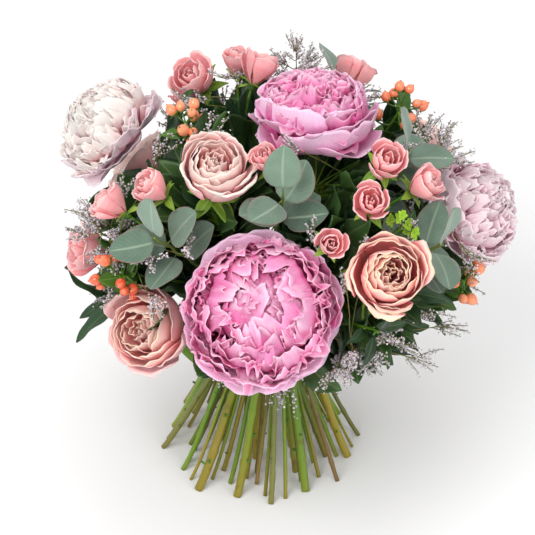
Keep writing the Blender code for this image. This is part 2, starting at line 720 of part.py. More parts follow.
def make_sprig(maker, room, plant, pieces):
    """A stem with leaves or berries. Each piece: how far below the tip, its shape and its sizes."""
    obj = maker.stem(plant.name, plant, plant.material)
    joined = bmesh.new()
    for number, (back, shape, size, stalk) in enumerate(pieces):
        base, way = along_path(plant.path, back)
        is_round = shape is club
        thick = 2 * STALK_RADIUS if is_round else LEAF_THICKNESS
        roll = number * TURN_PER_LEAF
        matrix, length, width, reach = find_place(room, plant, base, way, roll, size, stalk, thick, is_round)
        sides, rings = (BERRY_SIDES, BERRY_RINGS) if is_round else (LEAF_SIDES, LEAF_RINGS)
        piece = remade_ball(shape(length, width, reach), sides, rings, matrix)
        mesh = bpy.data.meshes.new("piece")
        piece.to_mesh(mesh)
        piece.free()
        joined.from_mesh(mesh)
        bpy.data.meshes.remove(mesh)
    unite(obj, maker.helper(plant.name + "_pieces", joined, plant.material))


def make_tape(maker):
    """The band round the waist, as a ring with a square section."""
    outermost = ring_radii()[-1]
    tilt = math.cos(math.atan(RING_BASE_RADII[-1] / WAIST_HEIGHT))
    grown = math.hypot(outermost, TAPE_HEIGHT / 2 * math.tan(math.acos(tilt)))
    inside = (grown + PEONY_STEM_RADIUS / tilt + CLEARANCE) / math.cos(math.pi / TAPE_SIDES)
    profile = bmesh.new()
    corners = ((inside + TAPE_WALL, 1), (inside + TAPE_WALL, -1), (inside, -1), (inside, 1))
    ring = [profile.verts.new((r, 0, WAIST_HEIGHT + TAPE_HEIGHT / 2 * side)) for r, side in corners]
    for a, b in zip(ring, ring[1:] + ring[:1]):
        profile.edges.new((a, b))
    axis = Vector((0, 0, 1))
    bmesh.ops.spin(
        profile, geom=profile.verts[:] + profile.edges[:], axis=axis, cent=Vector(), steps=TAPE_SIDES,
        angle=math.tau, use_merge=True,
    )
    bmesh.ops.recalc_face_normals(profile, faces=profile.faces)
    maker.part("binding_tape", profile, "tape")


HYPERICUM_PIECES = [(2 + 7 * i, club, BERRY, 16 * MM) for i in range(6)]
HYPERICUM_PIECES += [(46 + 9 * i, leaf_blade, HYPERICUM_LEAF, 5 * MM) for i in range(3)]
EUCALYPTUS_PIECES = [(3 + 12 * i, leaf_blade, EUCALYPTUS_LEAF, 6 * MM) for i in range(6)]
LIMONIUM_PIECES = [(1 + 9 * i, club, FLORET, 26 * MM) for i in range(7)]
BUPLEURUM_PIECES = [(1 + 4 * i, leaf_blade, BUPLEURUM_LEAF, 3 * MM) for i in range(6)]
BROAD_PIECES = [(4 + 16 * i, leaf_blade, BROAD_LEAF, 8 * MM) for i in range(4)]
NARROW_PIECES = [(2 + 8 * i, leaf_blade, NARROW_LEAF, 5 * MM) for i in range(7)]


def main():
    maker = Maker()
    peonies = flower_plants("peony_", PEONIES, PEONY_HEIGHT_SHARE, PEONY_STEM_RADIUS)
    roses = flower_plants("rose_", ROSES, ROSE_HEIGHT_SHARE, ROSE_STEM_RADIUS)
    spray_stems, spray_roses = spray_plants()
    hypericum = sprig_plants("hypericum_", HYPERICUM, HYPERICUM_STEM_RADIUS, HYPERICUM_DEPTH, "berry")
    eucalyptus = sprig_plants("eucalyptus_", EUCALYPTUS, EUCALYPTUS_STEM_RADIUS, LEAFY_DEPTH, "eucalyptus")
    limonium = sprig_plants("limonium_", LIMONIUM, LIMONIUM_STEM_RADIUS, LIMONIUM_DEPTH, "limonium")
    foliage = sprig_plants("foliage_", FOLIAGE, FOLIAGE_STEM_RADIUS, LEAFY_DEPTH, "foliage")
    bupleurum = sprig_plants("bupleurum_", BUPLEURUM, LIMONIUM_STEM_RADIUS, LEAFY_DEPTH, "bupleurum")
    stems = peonies + roses + spray_stems + hypericum + eucalyptus + limonium + foliage + bupleurum
    share_rings(stems)
    first_paths(stems, spray_roses)
    settle(stems + spray_roses)
    room = Room(stems + spray_roses)
    make_tape(maker)
    for plant in peonies:
        make_peony(maker, plant)
    for plant in roses:
        make_rose(maker, plant)
    for plant in spray_stems:
        maker.stem(plant.name, plant, "stem")
    for plant in spray_roses:
        make_spray_rose(maker, plant)
    sprigs = [(p, EUCALYPTUS_PIECES) for p in eucalyptus]
    sprigs += [(p, HYPERICUM_PIECES) for p in hypericum]
    sprigs += list(zip(foliage, (BROAD_PIECES, NARROW_PIECES)))
    sprigs += [(p, BUPLEURUM_PIECES) for p in bupleurum]
    sprigs += [(p, LIMONIUM_PIECES) for p in limonium]
    for plant, pieces in sprigs:
        scaled = [(back * MM, shape, size, stalk) for back, shape, size, stalk in pieces]
        make_sprig(maker, room, plant, scaled)
    set_origin(maker)


def set_origin(maker):
    """Moves everything so that the origin is under the middle of the bouquet, on the floor."""
    bpy.context.view_layer.update()
    corners = [Vector(c) for obj in maker.parts.objects for c in obj.bound_box]
    middle_x = (min(c.x for c in corners) + max(c.x for c in corners)) / 2
    middle_y = (min(c.y for c in corners) + max(c.y for c in corners)) / 2
    for obj in list(maker.parts.objects) + list(maker.helpers.objects):
        obj.location = (-middle_x, -middle_y, 0)


main()
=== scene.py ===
"""Looks of the hand-tied bouquet: petals, leaves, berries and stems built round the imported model.

Metres, +Z up. Flowers and leaves are grids of points worked out together, and stems are swept
tubes. Each point keeps three numbers for its material: across, along and the shade of its piece.
"""

import collections
import itertools
import math

import bmesh
import bpy
import numpy as np
from mathutils import Matrix, Vector


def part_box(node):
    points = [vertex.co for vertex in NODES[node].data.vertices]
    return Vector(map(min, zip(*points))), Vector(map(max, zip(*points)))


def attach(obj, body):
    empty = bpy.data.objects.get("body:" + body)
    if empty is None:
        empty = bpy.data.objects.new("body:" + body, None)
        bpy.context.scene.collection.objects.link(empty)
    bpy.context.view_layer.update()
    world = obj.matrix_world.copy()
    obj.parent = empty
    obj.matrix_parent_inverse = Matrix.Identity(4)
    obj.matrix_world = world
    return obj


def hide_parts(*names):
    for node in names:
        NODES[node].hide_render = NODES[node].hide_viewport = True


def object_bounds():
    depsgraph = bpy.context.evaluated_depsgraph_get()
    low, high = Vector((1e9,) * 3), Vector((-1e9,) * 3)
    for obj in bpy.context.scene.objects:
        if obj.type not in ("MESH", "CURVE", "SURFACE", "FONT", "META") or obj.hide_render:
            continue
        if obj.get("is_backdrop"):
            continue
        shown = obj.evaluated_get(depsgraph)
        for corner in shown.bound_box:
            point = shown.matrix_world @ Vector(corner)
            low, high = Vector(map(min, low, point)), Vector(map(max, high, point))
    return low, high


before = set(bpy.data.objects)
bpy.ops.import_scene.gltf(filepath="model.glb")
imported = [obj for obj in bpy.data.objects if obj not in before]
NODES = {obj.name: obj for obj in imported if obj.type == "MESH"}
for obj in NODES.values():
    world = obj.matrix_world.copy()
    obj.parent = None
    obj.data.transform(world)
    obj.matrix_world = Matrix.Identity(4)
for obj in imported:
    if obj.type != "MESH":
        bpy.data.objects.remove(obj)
cad_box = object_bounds()

MM = 0.001
GOLDEN = math.radians(137.508)  # turn from one petal or leaf to the next
TAPE_LOW, TAPE_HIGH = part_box("binding_tape")
AXIS = Vector(((TAPE_LOW.x + TAPE_HIGH.x) / 2, (TAPE_LOW.y + TAPE_HIGH.y) / 2, 0))
HEAD = AXIS + Vector((20 * MM, 0, 240 * MM))  # the middle of the bouquet's dome
HEAD_REACH = Vector((190 * MM, 190 * MM, 150 * MM))  # from there to the dome
PETAL_THICKNESS = 0.35 * MM
LEAF_THICKNESS = 0.3 * MM
SMALL_ROSE_SHARE = 0.347  # volume of a small rose over its diameter cubed
SMALL_ROSE_HEIGHT = 0.86  # over its diameter
PEDICEL_END = 3 * MM  # the points of a pedicel's free end are within this length
PEDICEL_TOP = (0.56, 1.1)  # its points nearest the rose, as distances over the rose's diameter
LEAF_SIDES, BERRY_SIDES = 4, 5  # of a CAD leaf and a CAD berry or tuft
WELD = 0.02 * MM
CUT_DEPTH = 0.3 * MM  # the points of a cut end are within this height
BRANCH_STEP = 16 * MM  # between the points of a sprig's line above its clean rings
FACE_SHARE = 0.42  # radius of a flower's open face over its diameter


# ---- What the frame says ------------------------------------------------------------------------


def points_of(*nodes):
    """The points of one or more CAD nodes."""
    parts = []
    for node in nodes:
        mesh = NODES[node].data
        flat = np.empty(len(mesh.vertices) * 3)
        mesh.vertices.foreach_get("co", flat)
        parts.append(flat.reshape(-1, 3))
    return np.concatenate(parts)


def welded(node):
    """A bmesh of the CAD node with its points joined."""
    bm = bmesh.new()
    bm.from_mesh(NODES[node].data)
    bmesh.ops.remove_doubles(bm, verts=bm.verts, dist=WELD)
    return bm


def mean(points):
    return sum(points, Vector()) / len(points)


def ordered(ring):
    """The places of a ring's points, in an order that is the same in every run."""
    return sorted((v.co.copy() for v in ring), key=tuple)


def next_ring(ring, seen):
    return {e.other_vert(v) for v in ring for e in v.link_edges} - seen


def clean_rings(bm):
    """The rings of points of a stem, from its cut end up to where something joins it."""
    low = min(v.co.z for v in bm.verts)
    ring = {v for v in bm.verts if v.co.z < low + CUT_DEPTH}
    seen, rings = set(ring), []
    while len(ring) == len(rings[0] if rings else ring):
        rings.append(ring)
        ring = next_ring(ring, seen)
        seen |= ring
    return rings


class Blade:
    """A leaf or a berry of a CAD sprig: its centre line from tip to stalk, its side and its width."""

    def __init__(self, tip, rings):
        self.line = [tip.co.copy()] + [mean(ordered(ring)) for ring in rings]
        pairs = [a - b for ring in rings for a, b in itertools.permutations(ordered(ring), 2)]
        widest = max(pairs, key=lambda pair: pair.length)
        self.width = widest.length
        self.side = widest.normalized()
        self.used = {tip} | set().union(*rings)

    @property
    def tip(self):
        return self.line[0]

    @property
    def foot(self):
        return self.line[-1]


def blades_of(bm, sides):
    """The leaves or berries of a sprig. A tip has as many edges as the rings below it have sides."""
    found = []
    for tip in bm.verts:
        rings, seen = [], {tip}
        ring = next_ring({tip}, seen)
        while len(ring) == sides and len(tip.link_edges) == sides:
            rings.append(ring)
            seen |= ring
            ring = next_ring(ring, seen)
        if len(rings) >= 3:
            found.append(Blade(tip, rings))
    return found


class Sprig:
    """The stem line of a CAD stem or sprig, with its leaves and berries."""

    def __init__(self, node):
        bm = welded(node)
        rings = clean_rings(bm)
        self.leaves = blades_of(bm, LEAF_SIDES)
        self.balls = blades_of(bm, BERRY_SIDES)
        centres = [mean(ordered(ring)) for ring in rings]
        self.radius = max((v.co - centres[0]).length for v in rings[0])
        used = set().union(*rings, *(blade.used for blade in self.leaves + self.balls))
        rest = [v.co.copy() for v in bm.verts if v not in used]
        self.line = centres + self.upper_line(centres[-1], rest)
        bm.free()

    def upper_line(self, start, rest):
        """Middles of the points that are left, in steps away from the start."""
        far = [(point - start).length for point in rest]
        middles = []
        for i in range(1, 12):
            near = [p for p, d in zip(rest, far) if abs(d / BRANCH_STEP - i) < 0.5]
            if near:
                middles.append(mean(near))
        return middles


SPRIG_KINDS = ("hypericum", "eucalyptus", "limonium", "foliage", "bupleurum")
SPRIG_NAMES = [n for n in NODES if n.startswith(SPRIG_KINDS)]
STEM_NAMES = [n for n in NODES if n.endswith("_stem")]
SMALL_ROSE_NAMES = [n for n in NODES if n.startswith("spray_rose") and not n.endswith("_stem")]
SPRIGS = {node: Sprig(node) for node in SPRIG_NAMES + STEM_NAMES}


class Place:
    """Where a flower sits: its middle, its axis, its diameter and its height."""

    def __init__(self, middle, axis, size, height):
        self.middle = middle
        self.axis = axis
        self.size = size
        self.height = height

    def matrix(self, spin):
        turn = self.axis.to_track_quat("Z", "Y").to_matrix().to_4x4()
        return Matrix.Translation(self.middle) @ turn @ Matrix.Rotation(spin, 4, "Z")

    def split(self, point):
        """How far a point is from the axis, and how far up along it from the middle."""
        away = point - self.middle
        up = away.dot(self.axis)
        return (away - up * self.axis).length, up

    def holds(self, point, share):
        """Whether a point is in the flower, scaled by this share."""
        across, up = self.split(point)
        return (2 * across / self.size) ** 2 + (2 * up / self.height) ** 2 < share**2

    def faces(self, point):
        """Whether a point stands over the open face of the flower."""
        across, up = self.split(point)
        return 0 < up < self.size and across < self.size * FACE_SHARE


def flower_place(stem, *nodes):
    """The place of a flower on its own stem, read from its solids and the top of the stem."""
    line = SPRIGS[stem].line
    axis = (line[-1] - line[-2]).normalized()
    points = points_of(*nodes) - np.array(line[-1])
    up = points @ np.array(axis)
    across = np.linalg.norm(points - up[:, None] * np.array(axis), axis=1)
    middle = line[-1] + axis * float((up.max() + up.min()) / 2)
    return Place(middle, axis, 2 * float(across.max()), float(up.max() - up.min()))


def small_rose_place(node):
    """The place of a small rose, whose solid also holds its pedicel, and where the pedicel starts."""
    mesh = NODES[node].data
    mesh.calc_loop_triangles()
    corners = np.array([[tuple(mesh.vertices[i].co) for i in t.vertices] for t in mesh.loop_triangles])
    volumes = np.einsum("ij,ij->i", corners[:, 0], np.cross(corners[:, 1], corners[:, 2])) / 6
    middle = Vector((corners.sum(1) / 4 * volumes[:, None]).sum(0) / volumes.sum())
    size = float(volumes.sum() / SMALL_ROSE_SHARE) ** (1 / 3)
    points = points_of(node)
    far = np.linalg.norm(points - np.array(middle), axis=1)
    start = Vector(points[far > far.max() - PEDICEL_END].mean(0))
    first, last = PEDICEL_TOP
    near = points[(far > size * first) & (far < size * last)]
    axis = (middle - (Vector(near.mean(0)) if len(near) else start)).normalized()
    return Place(middle, axis, size, size * SMALL_ROSE_HEIGHT), start


# ---- Meshes -------------------------------------------------------------------------------------


def grid_quads(count, rows, columns, is_round=False):
    """Quads of count separate grids of points, each rows by columns. A round grid closes on itself."""
    last = columns if is_round else columns - 1
    row, column = np.meshgrid(np.arange(rows - 1), np.arange(last), indexing="ij")
    row, column = row.ravel(), column.ravel()
    after = (column + 1) % columns
    quad = np.stack([row * columns + column, row * columns + after], axis=1)
    quad = np.concatenate([quad, quad[:, ::-1] + columns], axis=1)
    return (quad[None] + (np.arange(count) * rows * columns)[:, None, None]).reshape(-1, 4)


class Heap:
    """Points and quads of many small shapes, gathered to make one piece."""

    def __init__(self):
        self.points = []
        self.quads = []
        self.marks = []
        self.total = 0

    def add_grids(self, grids, marks, is_round=False):
        """Adds grids of points (count, rows, columns, 3), each with its marks."""
        count, rows, columns = grids.shape[:3]
        self.quads.append(grid_quads(count, rows, columns, is_round) + self.total)
        self.points.append(grids.reshape(-1, 3))
        self.marks.append(np.broadcast_to(marks, grids.shape).reshape(-1, 3))
        self.total += count * rows * columns

    def piece(self, name, material, slot, nodes=(), thickness=0.0, matrix=None):
        mesh = bpy.data.meshes.new(name)
        points, quads = np.concatenate(self.points), np.concatenate(self.quads)
        if matrix:
            turn = np.array(matrix)
            points = points @ turn[:3, :3].T + turn[:3, 3]
        mesh.vertices.add(len(points))
        mesh.vertices.foreach_set("co", points.astype(np.float32).ravel())
        mesh.loops.add(quads.size)
        mesh.loops.foreach_set("vertex_index", quads.astype(np.int32).ravel())
        mesh.polygons.add(len(quads))
        mesh.polygons.foreach_set("loop_start", np.arange(0, quads.size, 4, dtype=np.int32))
        mesh.polygons.foreach_set("use_smooth", np.ones(len(quads), bool))
        mesh.update(calc_edges=True)
        attribute = mesh.attributes.new("petal", "FLOAT_VECTOR", "POINT")
        attribute.data.foreach_set("vector", np.concatenate(self.marks).astype(np.float32).ravel())
        mesh.materials.append(material)
        piece = bpy.data.objects.new(name, mesh)
        bpy.context.scene.collection.objects.link(piece)
        if thickness:
            solid = piece.modifiers.new("thickness", "SOLIDIFY")
            solid.thickness = thickness
            solid.offset = 0
        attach(piece, "root")
        if nodes:
            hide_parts(*nodes)


def smooth(x):
    x = np.clip(x, 0, 1)
    return x * x * (3 - 2 * x)


def smooth_path(line, count):
    """count points along a smooth curve through the points of the line."""
    line = np.array([tuple(p) for p in line])
    steps = np.linalg.norm(np.diff(line, axis=0), axis=1)
    at = np.concatenate([[0], np.cumsum(steps)])
    slopes = np.repeat(np.diff(line, axis=0) / at[-1], 2, 0)
    if len(line) > 2:
        slopes = np.gradient(line, at, axis=0)
    where = np.linspace(0, at[-1], count)
    i = np.clip(np.searchsorted(at, where, side="right") - 1, 0, len(line) - 2)
    width = (at[i + 1] - at[i])[:, None]
    t = (where - at[i])[:, None] / width
    start, end = line[i], line[i + 1]
    lift, dip = slopes[i] * width, slopes[i + 1] * width
    return (
        (2 * t**3 - 3 * t**2 + 1) * start
        + (t**3 - 2 * t**2 + t) * lift
        + (3 * t**2 - 2 * t**3) * end
        + (t**3 - t**2) * dip
    )


def arc(start, bend, end, count):
    """count points along the curve from start to end that bend pulls aside."""
    t = np.linspace(0, 1, count)[:, None]
    return (1 - t) ** 2 * np.array(start) + 2 * t * (1 - t) * np.array(bend) + t**2 * np.array(end)


def tube(path, radii, sides):
    """A closed tube round a path, as a grid (1, rows, sides, 3). Its ends close to a point."""
    ways = np.gradient(path, axis=0)
    ways /= np.linalg.norm(ways, axis=1)[:, None]
    normal = np.cross(ways[0], (1.0, 0.3, 0.2))
    angle = np.linspace(0, math.tau, sides, endpoint=False)[:, None]
    rings = []
    for point, way, radius in zip(path, ways, np.broadcast_to(radii, len(path))):
        normal = normal - way * (normal @ way)
        normal /= np.linalg.norm(normal)
        ring = np.cos(angle) * normal + np.sin(angle) * np.cross(way, normal)
        rings.append(point + radius * ring)
    ends = [np.repeat(path[:1], sides, 0), np.repeat(path[-1:], sides, 0)]
    return np.array([ends[0], *rings, ends[1]])[None]


def tube_marks(rows, sides, shade):
    along = np.concatenate([[0], np.linspace(0, 1, rows - 2), [1]])[:, None]
    around = np.linspace(-1, 1, sides)
    whole = np.ones((rows, sides))
    return np.stack([around * whole, along * whole, shade * whole], axis=-1)[None]


def add_tube(heap, path, radii, shade=0.5, sides=8):
    grid = tube(path, radii, sides)
    heap.add_grids(grid, tube_marks(grid.shape[1], sides, shade), is_round=True)


class LeafShape:
    """Outline and bend of a leaf. Lengths are shares of the leaf's own length.

    fold: how far its sides rise. droop: how far it bends. wave: of its edge. teeth: depth of them.
    """

    def __init__(self, width, low=1.0, point=1.0, fold=0.2, droop=0.1, wave=0.02, teeth=0.0):
        self.width = width
        self.low = low  # under 1 the widest place is nearer the stalk
        self.point = point  # under 1 the leaf is rounder
        self.fold = fold
        self.droop = droop
        self.wave = wave
        self.teeth = teeth


def add_leaf(heap, rng, foot, tip, side, out, shape, detail=(13, 9)):
    """A leaf from foot to tip, spread along side, whose face looks towards out."""
    foot, tip, side, out = (np.array(v, float) for v in (foot, tip, side, out))
    length = np.linalg.norm(tip - foot)
    way = (tip - foot) / length
    side = side - way * (side @ way)
    side /= np.linalg.norm(side)
    face = np.cross(way, side)
    face = face * (1 if face @ out > 0 else -1)
    v = np.linspace(0, 1, detail[0])[:, None]
    u = np.linspace(-1, 1, detail[1])[None, :]
    half = shape.width / 2 * np.sin(math.pi * np.clip(v, 0.004, 0.996) ** shape.low) ** shape.point
    half = half * (1 + shape.teeth * np.abs(np.sin(math.pi * 7 * v)) * np.abs(u) ** 4)
    phase = rng.uniform(0, math.tau, 2)
    lift = shape.fold * half * np.abs(u) ** 1.6 - shape.droop * (v - 0.35) ** 2
    lift = lift + shape.wave * np.sin(math.tau * 1.7 * v + phase[0] + 1.5 * np.sign(u)) * np.abs(u) ** 2
    swing = rng.uniform(-0.05, 0.05) * np.sin(math.pi * v)
    aside = u * half + swing
    grid = foot + length * (v[..., None] * way + aside[..., None] * side + lift[..., None] * face)
    whole = np.ones_like(u * v)
    marks = np.stack([u * whole, v * whole, rng.uniform(0, 1) * whole], axis=-1)
    heap.add_grids(grid[None], marks[None])


# ---- Materials ----------------------------------------------------------------------------------


class Shader:
    """Small helper that adds and links nodes of one material."""

    def __init__(self, name, roughness, **constants):
        self.material = bpy.data.materials.new(name)
        self.material.use_nodes = True
        self.tree = self.material.node_tree
        self.surface = self.tree.nodes["Principled BSDF"]
        self.set("Roughness", roughness)
        for socket, value in constants.items():
            self.set(socket.replace("_", " "), value)

    def set(self, socket, value):
        self.surface.inputs[socket].default_value = value

    def scatter(self, weight, reach, scale):
        """Light that spreads under the skin: reach is its red, green and blue share of the scale."""
        self.set("Subsurface Weight", weight)
        self.set("Subsurface Radius", reach)
        self.set("Subsurface Scale", scale)

    def feed(self, socket, value):
        if isinstance(value, bpy.types.NodeSocket):
            self.tree.links.new(value, socket)
        elif isinstance(value, tuple) and socket.type == "RGBA":
            socket.default_value = (*value, 1)
        else:
            socket.default_value = value

    def add(self, kind, **inputs):
        node = self.tree.nodes.new(kind)
        for socket, value in inputs.items():
            self.feed(node.inputs[socket.replace("_", " ")], value)
        return node

    def marks(self):
        """The three numbers of a point together, then across, along and shade."""
        node = self.add("ShaderNodeAttribute")
        node.attribute_name = "petal"
        split = self.add("ShaderNodeSeparateXYZ", Vector=node.outputs["Vector"])
        return node.outputs["Vector"], *(split.outputs[axis] for axis in "XYZ")

    def ramp(self, factor, *stops):
        """A colour ramp. A stop is a position and a colour, or a position and a grey."""
        node = self.add("ShaderNodeValToRGB", Fac=factor)
        elements = node.color_ramp.elements
        while len(elements) < len(stops):
            elements.new(0.5)
        for element, (position, colour) in zip(elements, stops):
            element.position = position
            element.color = (*colour, 1) if isinstance(colour, tuple) else (colour, colour, colour, 1)
        return node.outputs["Color"]

    def mix(self, factor, first, second, blend="MIX"):
        node = self.tree.nodes.new("ShaderNodeMix")
        node.data_type = "RGBA"
        node.blend_type = blend
        for socket, value in zip((0, 6, 7), (factor, first, second)):
            self.feed(node.inputs[socket], value)
        return node.outputs[2]

    def math(self, operation, first, second=0.0):
        node = self.tree.nodes.new("ShaderNodeMath")
        node.operation = operation
        self.feed(node.inputs[0], first)
        self.feed(node.inputs[1], second)
        return node.outputs[0]

    def shifted(self, value, noise, amount):
        """The value moved up and down by a noise."""
        return self.math("ADD", value, self.math("MULTIPLY", self.math("SUBTRACT", noise, 0.5), amount))

    def noise(self, vector, scale, detail=3.0, roughness=0.5):
        node = self.add("ShaderNodeTexNoise", Vector=vector, Scale=scale, Detail=detail, Roughness=roughness)
        return node.outputs["Fac"]

    def place(self):
        return self.add("ShaderNodeTexCoord").outputs["Object"]

    def stretched(self, vector, x, y, z):
        node = self.add("ShaderNodeMapping", Vector=vector)
        node.inputs["Scale"].default_value = (x, y, z)
        return node.outputs["Vector"]

    def bump(self, height, strength, distance):
        node = self.add("ShaderNodeBump", Height=height, Strength=strength, Distance=distance)
        self.tree.links.new(node.outputs["Normal"], self.surface.inputs["Normal"])

    def colour(self, value):
        self.feed(self.surface.inputs["Base Color"], value)
        return self.material


def petal_material(name, deep, body, rim, deep_end, body_end, fleck=None, heart=None, outer=None):
    """Petal skin: deep at its base, then its body colour, then its rim, with veins and its own shade.
    The deep base colour is partly the petal's own colour and partly painted light: the saturated glow that
    light shining through the petals gives the depths of the flower.

    deep_end and body_end say how far along the petal those colours reach. fleck is the colour of
    small marks at the rim. In a rose the across number says how far in a petal is: heart tints its
    inner petals, and outer colours its outermost ones.
    """
    shader = Shader(name, 0.6, Sheen_Weight=0.15, Sheen_Roughness=0.5, Specular_IOR_Level=0.2)
    shader.scatter(0.35, (1.0, 0.5, 0.6), 6 * MM)
    vector, across, along, shade = shader.marks()
    cloudy = shader.noise(shader.place(), 55.0)
    moved = shader.shifted(along, cloudy, 0.35)
    # The deep stop at the petal's base is partly its own colour and partly painted light, the saturated glow
    # of light through the petals in the flower's depths.
    colour = shader.ramp(moved, (deep_end * 0.5, deep), (deep_end, deep), (body_end, body), (0.99, rim))
    if heart:
        inner = shader.ramp(across, (0.25, 0.0), (0.95, 0.8))
        colour = shader.mix(inner, colour, heart, "MULTIPLY")
    if outer:
        colour = shader.mix(shader.ramp(across, (0.08, 0.9), (0.24, 0.0)), colour, outer)
    veins = shader.noise(shader.stretched(vector, 24.0, 1.6, 9.0), 3.0, 4.0, 0.6)
    colour = shader.mix(shader.ramp(veins, (0.44, 0.0), (0.74, 0.45)), colour, body, "MULTIPLY")
    lighter = shader.ramp(shade, (0.0, 0.82), (0.5, 1.0), (1.0, 1.1))
    colour = shader.mix(1.0, colour, lighter, "MULTIPLY")
    if fleck:
        spots = shader.ramp(shader.noise(shader.place(), 190.0, 2.0), (0.67, 0.0), (0.70, 1.0))
        edge = shader.ramp(along, (0.80, 0.0), (0.97, 1.0))
        colour = shader.mix(shader.math("MULTIPLY", spots, edge), colour, fleck)
    shader.bump(veins, 0.3, 0.4 * MM)
    return shader.colour(colour)


def leaf_material(name, dark, light, midrib, roughness, edge=None, bloom=0.0):
    """Leaf skin: blotches from dark to light, a midrib, side veins and sometimes a tinted edge."""
    shader = Shader(name, roughness, Sheen_Weight=bloom, Sheen_Roughness=0.6, Specular_IOR_Level=0.35)
    shader.scatter(0.05, (0.4, 1.0, 0.3), 1 * MM)
    _, across, along, shade = shader.marks()
    middle = shader.math("ABSOLUTE", across)
    blotches = shader.noise(shader.place(), 60.0, 4.0)
    tone = shader.math("ADD", shader.math("MULTIPLY", blotches, 0.6), shader.math("MULTIPLY", shade, 0.5))
    colour = shader.ramp(tone, (0.25, dark), (0.85, light))
    slanted = shader.math("ADD", shader.math("MULTIPLY", along, 8.0), shader.math("MULTIPLY", middle, -3.2))
    ridges = shader.math("ABSOLUTE", shader.math("SINE", shader.math("MULTIPLY", slanted, math.pi)))
    veins = shader.ramp(ridges, (0.0, 1.0), (0.16, 0.0))
    colour = shader.mix(shader.math("MULTIPLY", veins, 0.35), colour, midrib)
    rib = shader.ramp(middle, (0.03, 1.0), (0.10, 0.0))
    colour = shader.mix(shader.math("MULTIPLY", rib, 0.7), colour, midrib)
    if edge:
        colour = shader.mix(shader.ramp(middle, (0.90, 0.0), (0.99, 0.8)), colour, edge)
    fine = shader.noise(shader.place(), 700.0, 2.0)
    height = shader.math("ADD", shader.math("MULTIPLY", fine, 0.3), shader.math("MAXIMUM", veins, rib))
    shader.bump(height, 0.25, -0.3 * MM)
    return shader.colour(colour)


def stem_material(name, top, middle, foot, node_colour):
    """Stem skin: greener above, olive to brown towards the cut, streaks along it and dark nodes."""
    shader = Shader(name, 0.36, Specular_IOR_Level=0.45)
    vector, _, along, shade = shader.marks()
    streaks = shader.noise(shader.stretched(vector, 5.0, 6.0, 20.0), 3.0, 4.0)
    moved = shader.shifted(along, streaks, 0.25)
    moved = shader.shifted(moved, shade, 0.55)
    colour = shader.ramp(moved, (0.0, foot), (0.22, middle), (0.6, top))
    patches = shader.ramp(shader.noise(shader.place(), 70.0, 4.0), (0.58, 0.0), (0.72, 0.55))
    colour = shader.mix(patches, colour, node_colour)
    tone = shader.ramp(shader.math("FRACT", shader.math("MULTIPLY", shade, 7.0)), (0.0, 0.6), (1.0, 1.15))
    colour = shader.mix(1.0, colour, tone, "MULTIPLY")
    shader.bump(streaks, 0.35, 0.4 * MM)
    return shader.colour(colour)


def berry_material():
    shader = Shader("berry_skin", 0.16, Specular_IOR_Level=0.5, Coat_Weight=0.4, Coat_Roughness=0.1)
    shader.scatter(0.12, (1.0, 0.4, 0.2), 2 * MM)
    _, _, along, shade = shader.marks()
    red, orange, peach = (0.80, 0.09, 0.035), (0.84, 0.17, 0.07), (0.88, 0.36, 0.18)
    skin = shader.ramp(shade, (0.0, red), (0.5, orange), (1.0, peach))
    mottled = shader.noise(shader.place(), 220.0, 3.0)
    skin = shader.mix(shader.ramp(mottled, (0.45, 0.0), (0.75, 0.5)), skin, (0.90, 0.42, 0.20))
    colour = shader.mix(shader.ramp(along, (0.0, 1.0), (0.22, 0.0)), skin, (0.55, 0.50, 0.10))
    colour = shader.mix(shader.ramp(along, (0.93, 0.0), (0.985, 1.0)), colour, (0.06, 0.02, 0.01))
    shader.bump(mottled, 0.08, 0.3 * MM)
    return shader.colour(colour)


def floret_material():
    shader = Shader("limonium_florets", 0.7, Specular_IOR_Level=0.2)
    _, _, along, shade = shader.marks()
    base, cup_mauve, white = (0.30, 0.20, 0.18), (0.60, 0.46, 0.52), (0.93, 0.89, 0.91)
    cup = shader.ramp(along, (0.0, base), (0.3, cup_mauve), (0.6, white))
    tone = shader.ramp(shade, (0.0, 0.65), (1.0, 1.1))
    speckle = shader.noise(shader.place(), 500.0, 2.0)
    colour = shader.mix(shader.ramp(speckle, (0.5, 0.0), (0.7, 0.3)), cup, (0.55, 0.38, 0.55))
    return shader.colour(shader.mix(1.0, colour, tone, "MULTIPLY"))


def cord_material():
    shader = Shader("binding_cord", 0.85, Specular_IOR_Level=0.2)
    _, around, along, _ = shader.marks()
    twist = shader.math("ADD", shader.math("MULTIPLY", along, 900.0), shader.math("MULTIPLY", around, 6.0))
    strands = shader.math("SINE", twist)
    fibre = shader.noise(shader.place(), 900.0, 3.0)
    colour = shader.ramp(fibre, (0.3, (0.24, 0.17, 0.09)), (0.7, (0.46, 0.36, 0.21)))
    shader.bump(shader.math("ADD", strands, fibre), 0.5, 0.4 * MM)
    return shader.colour(colour)
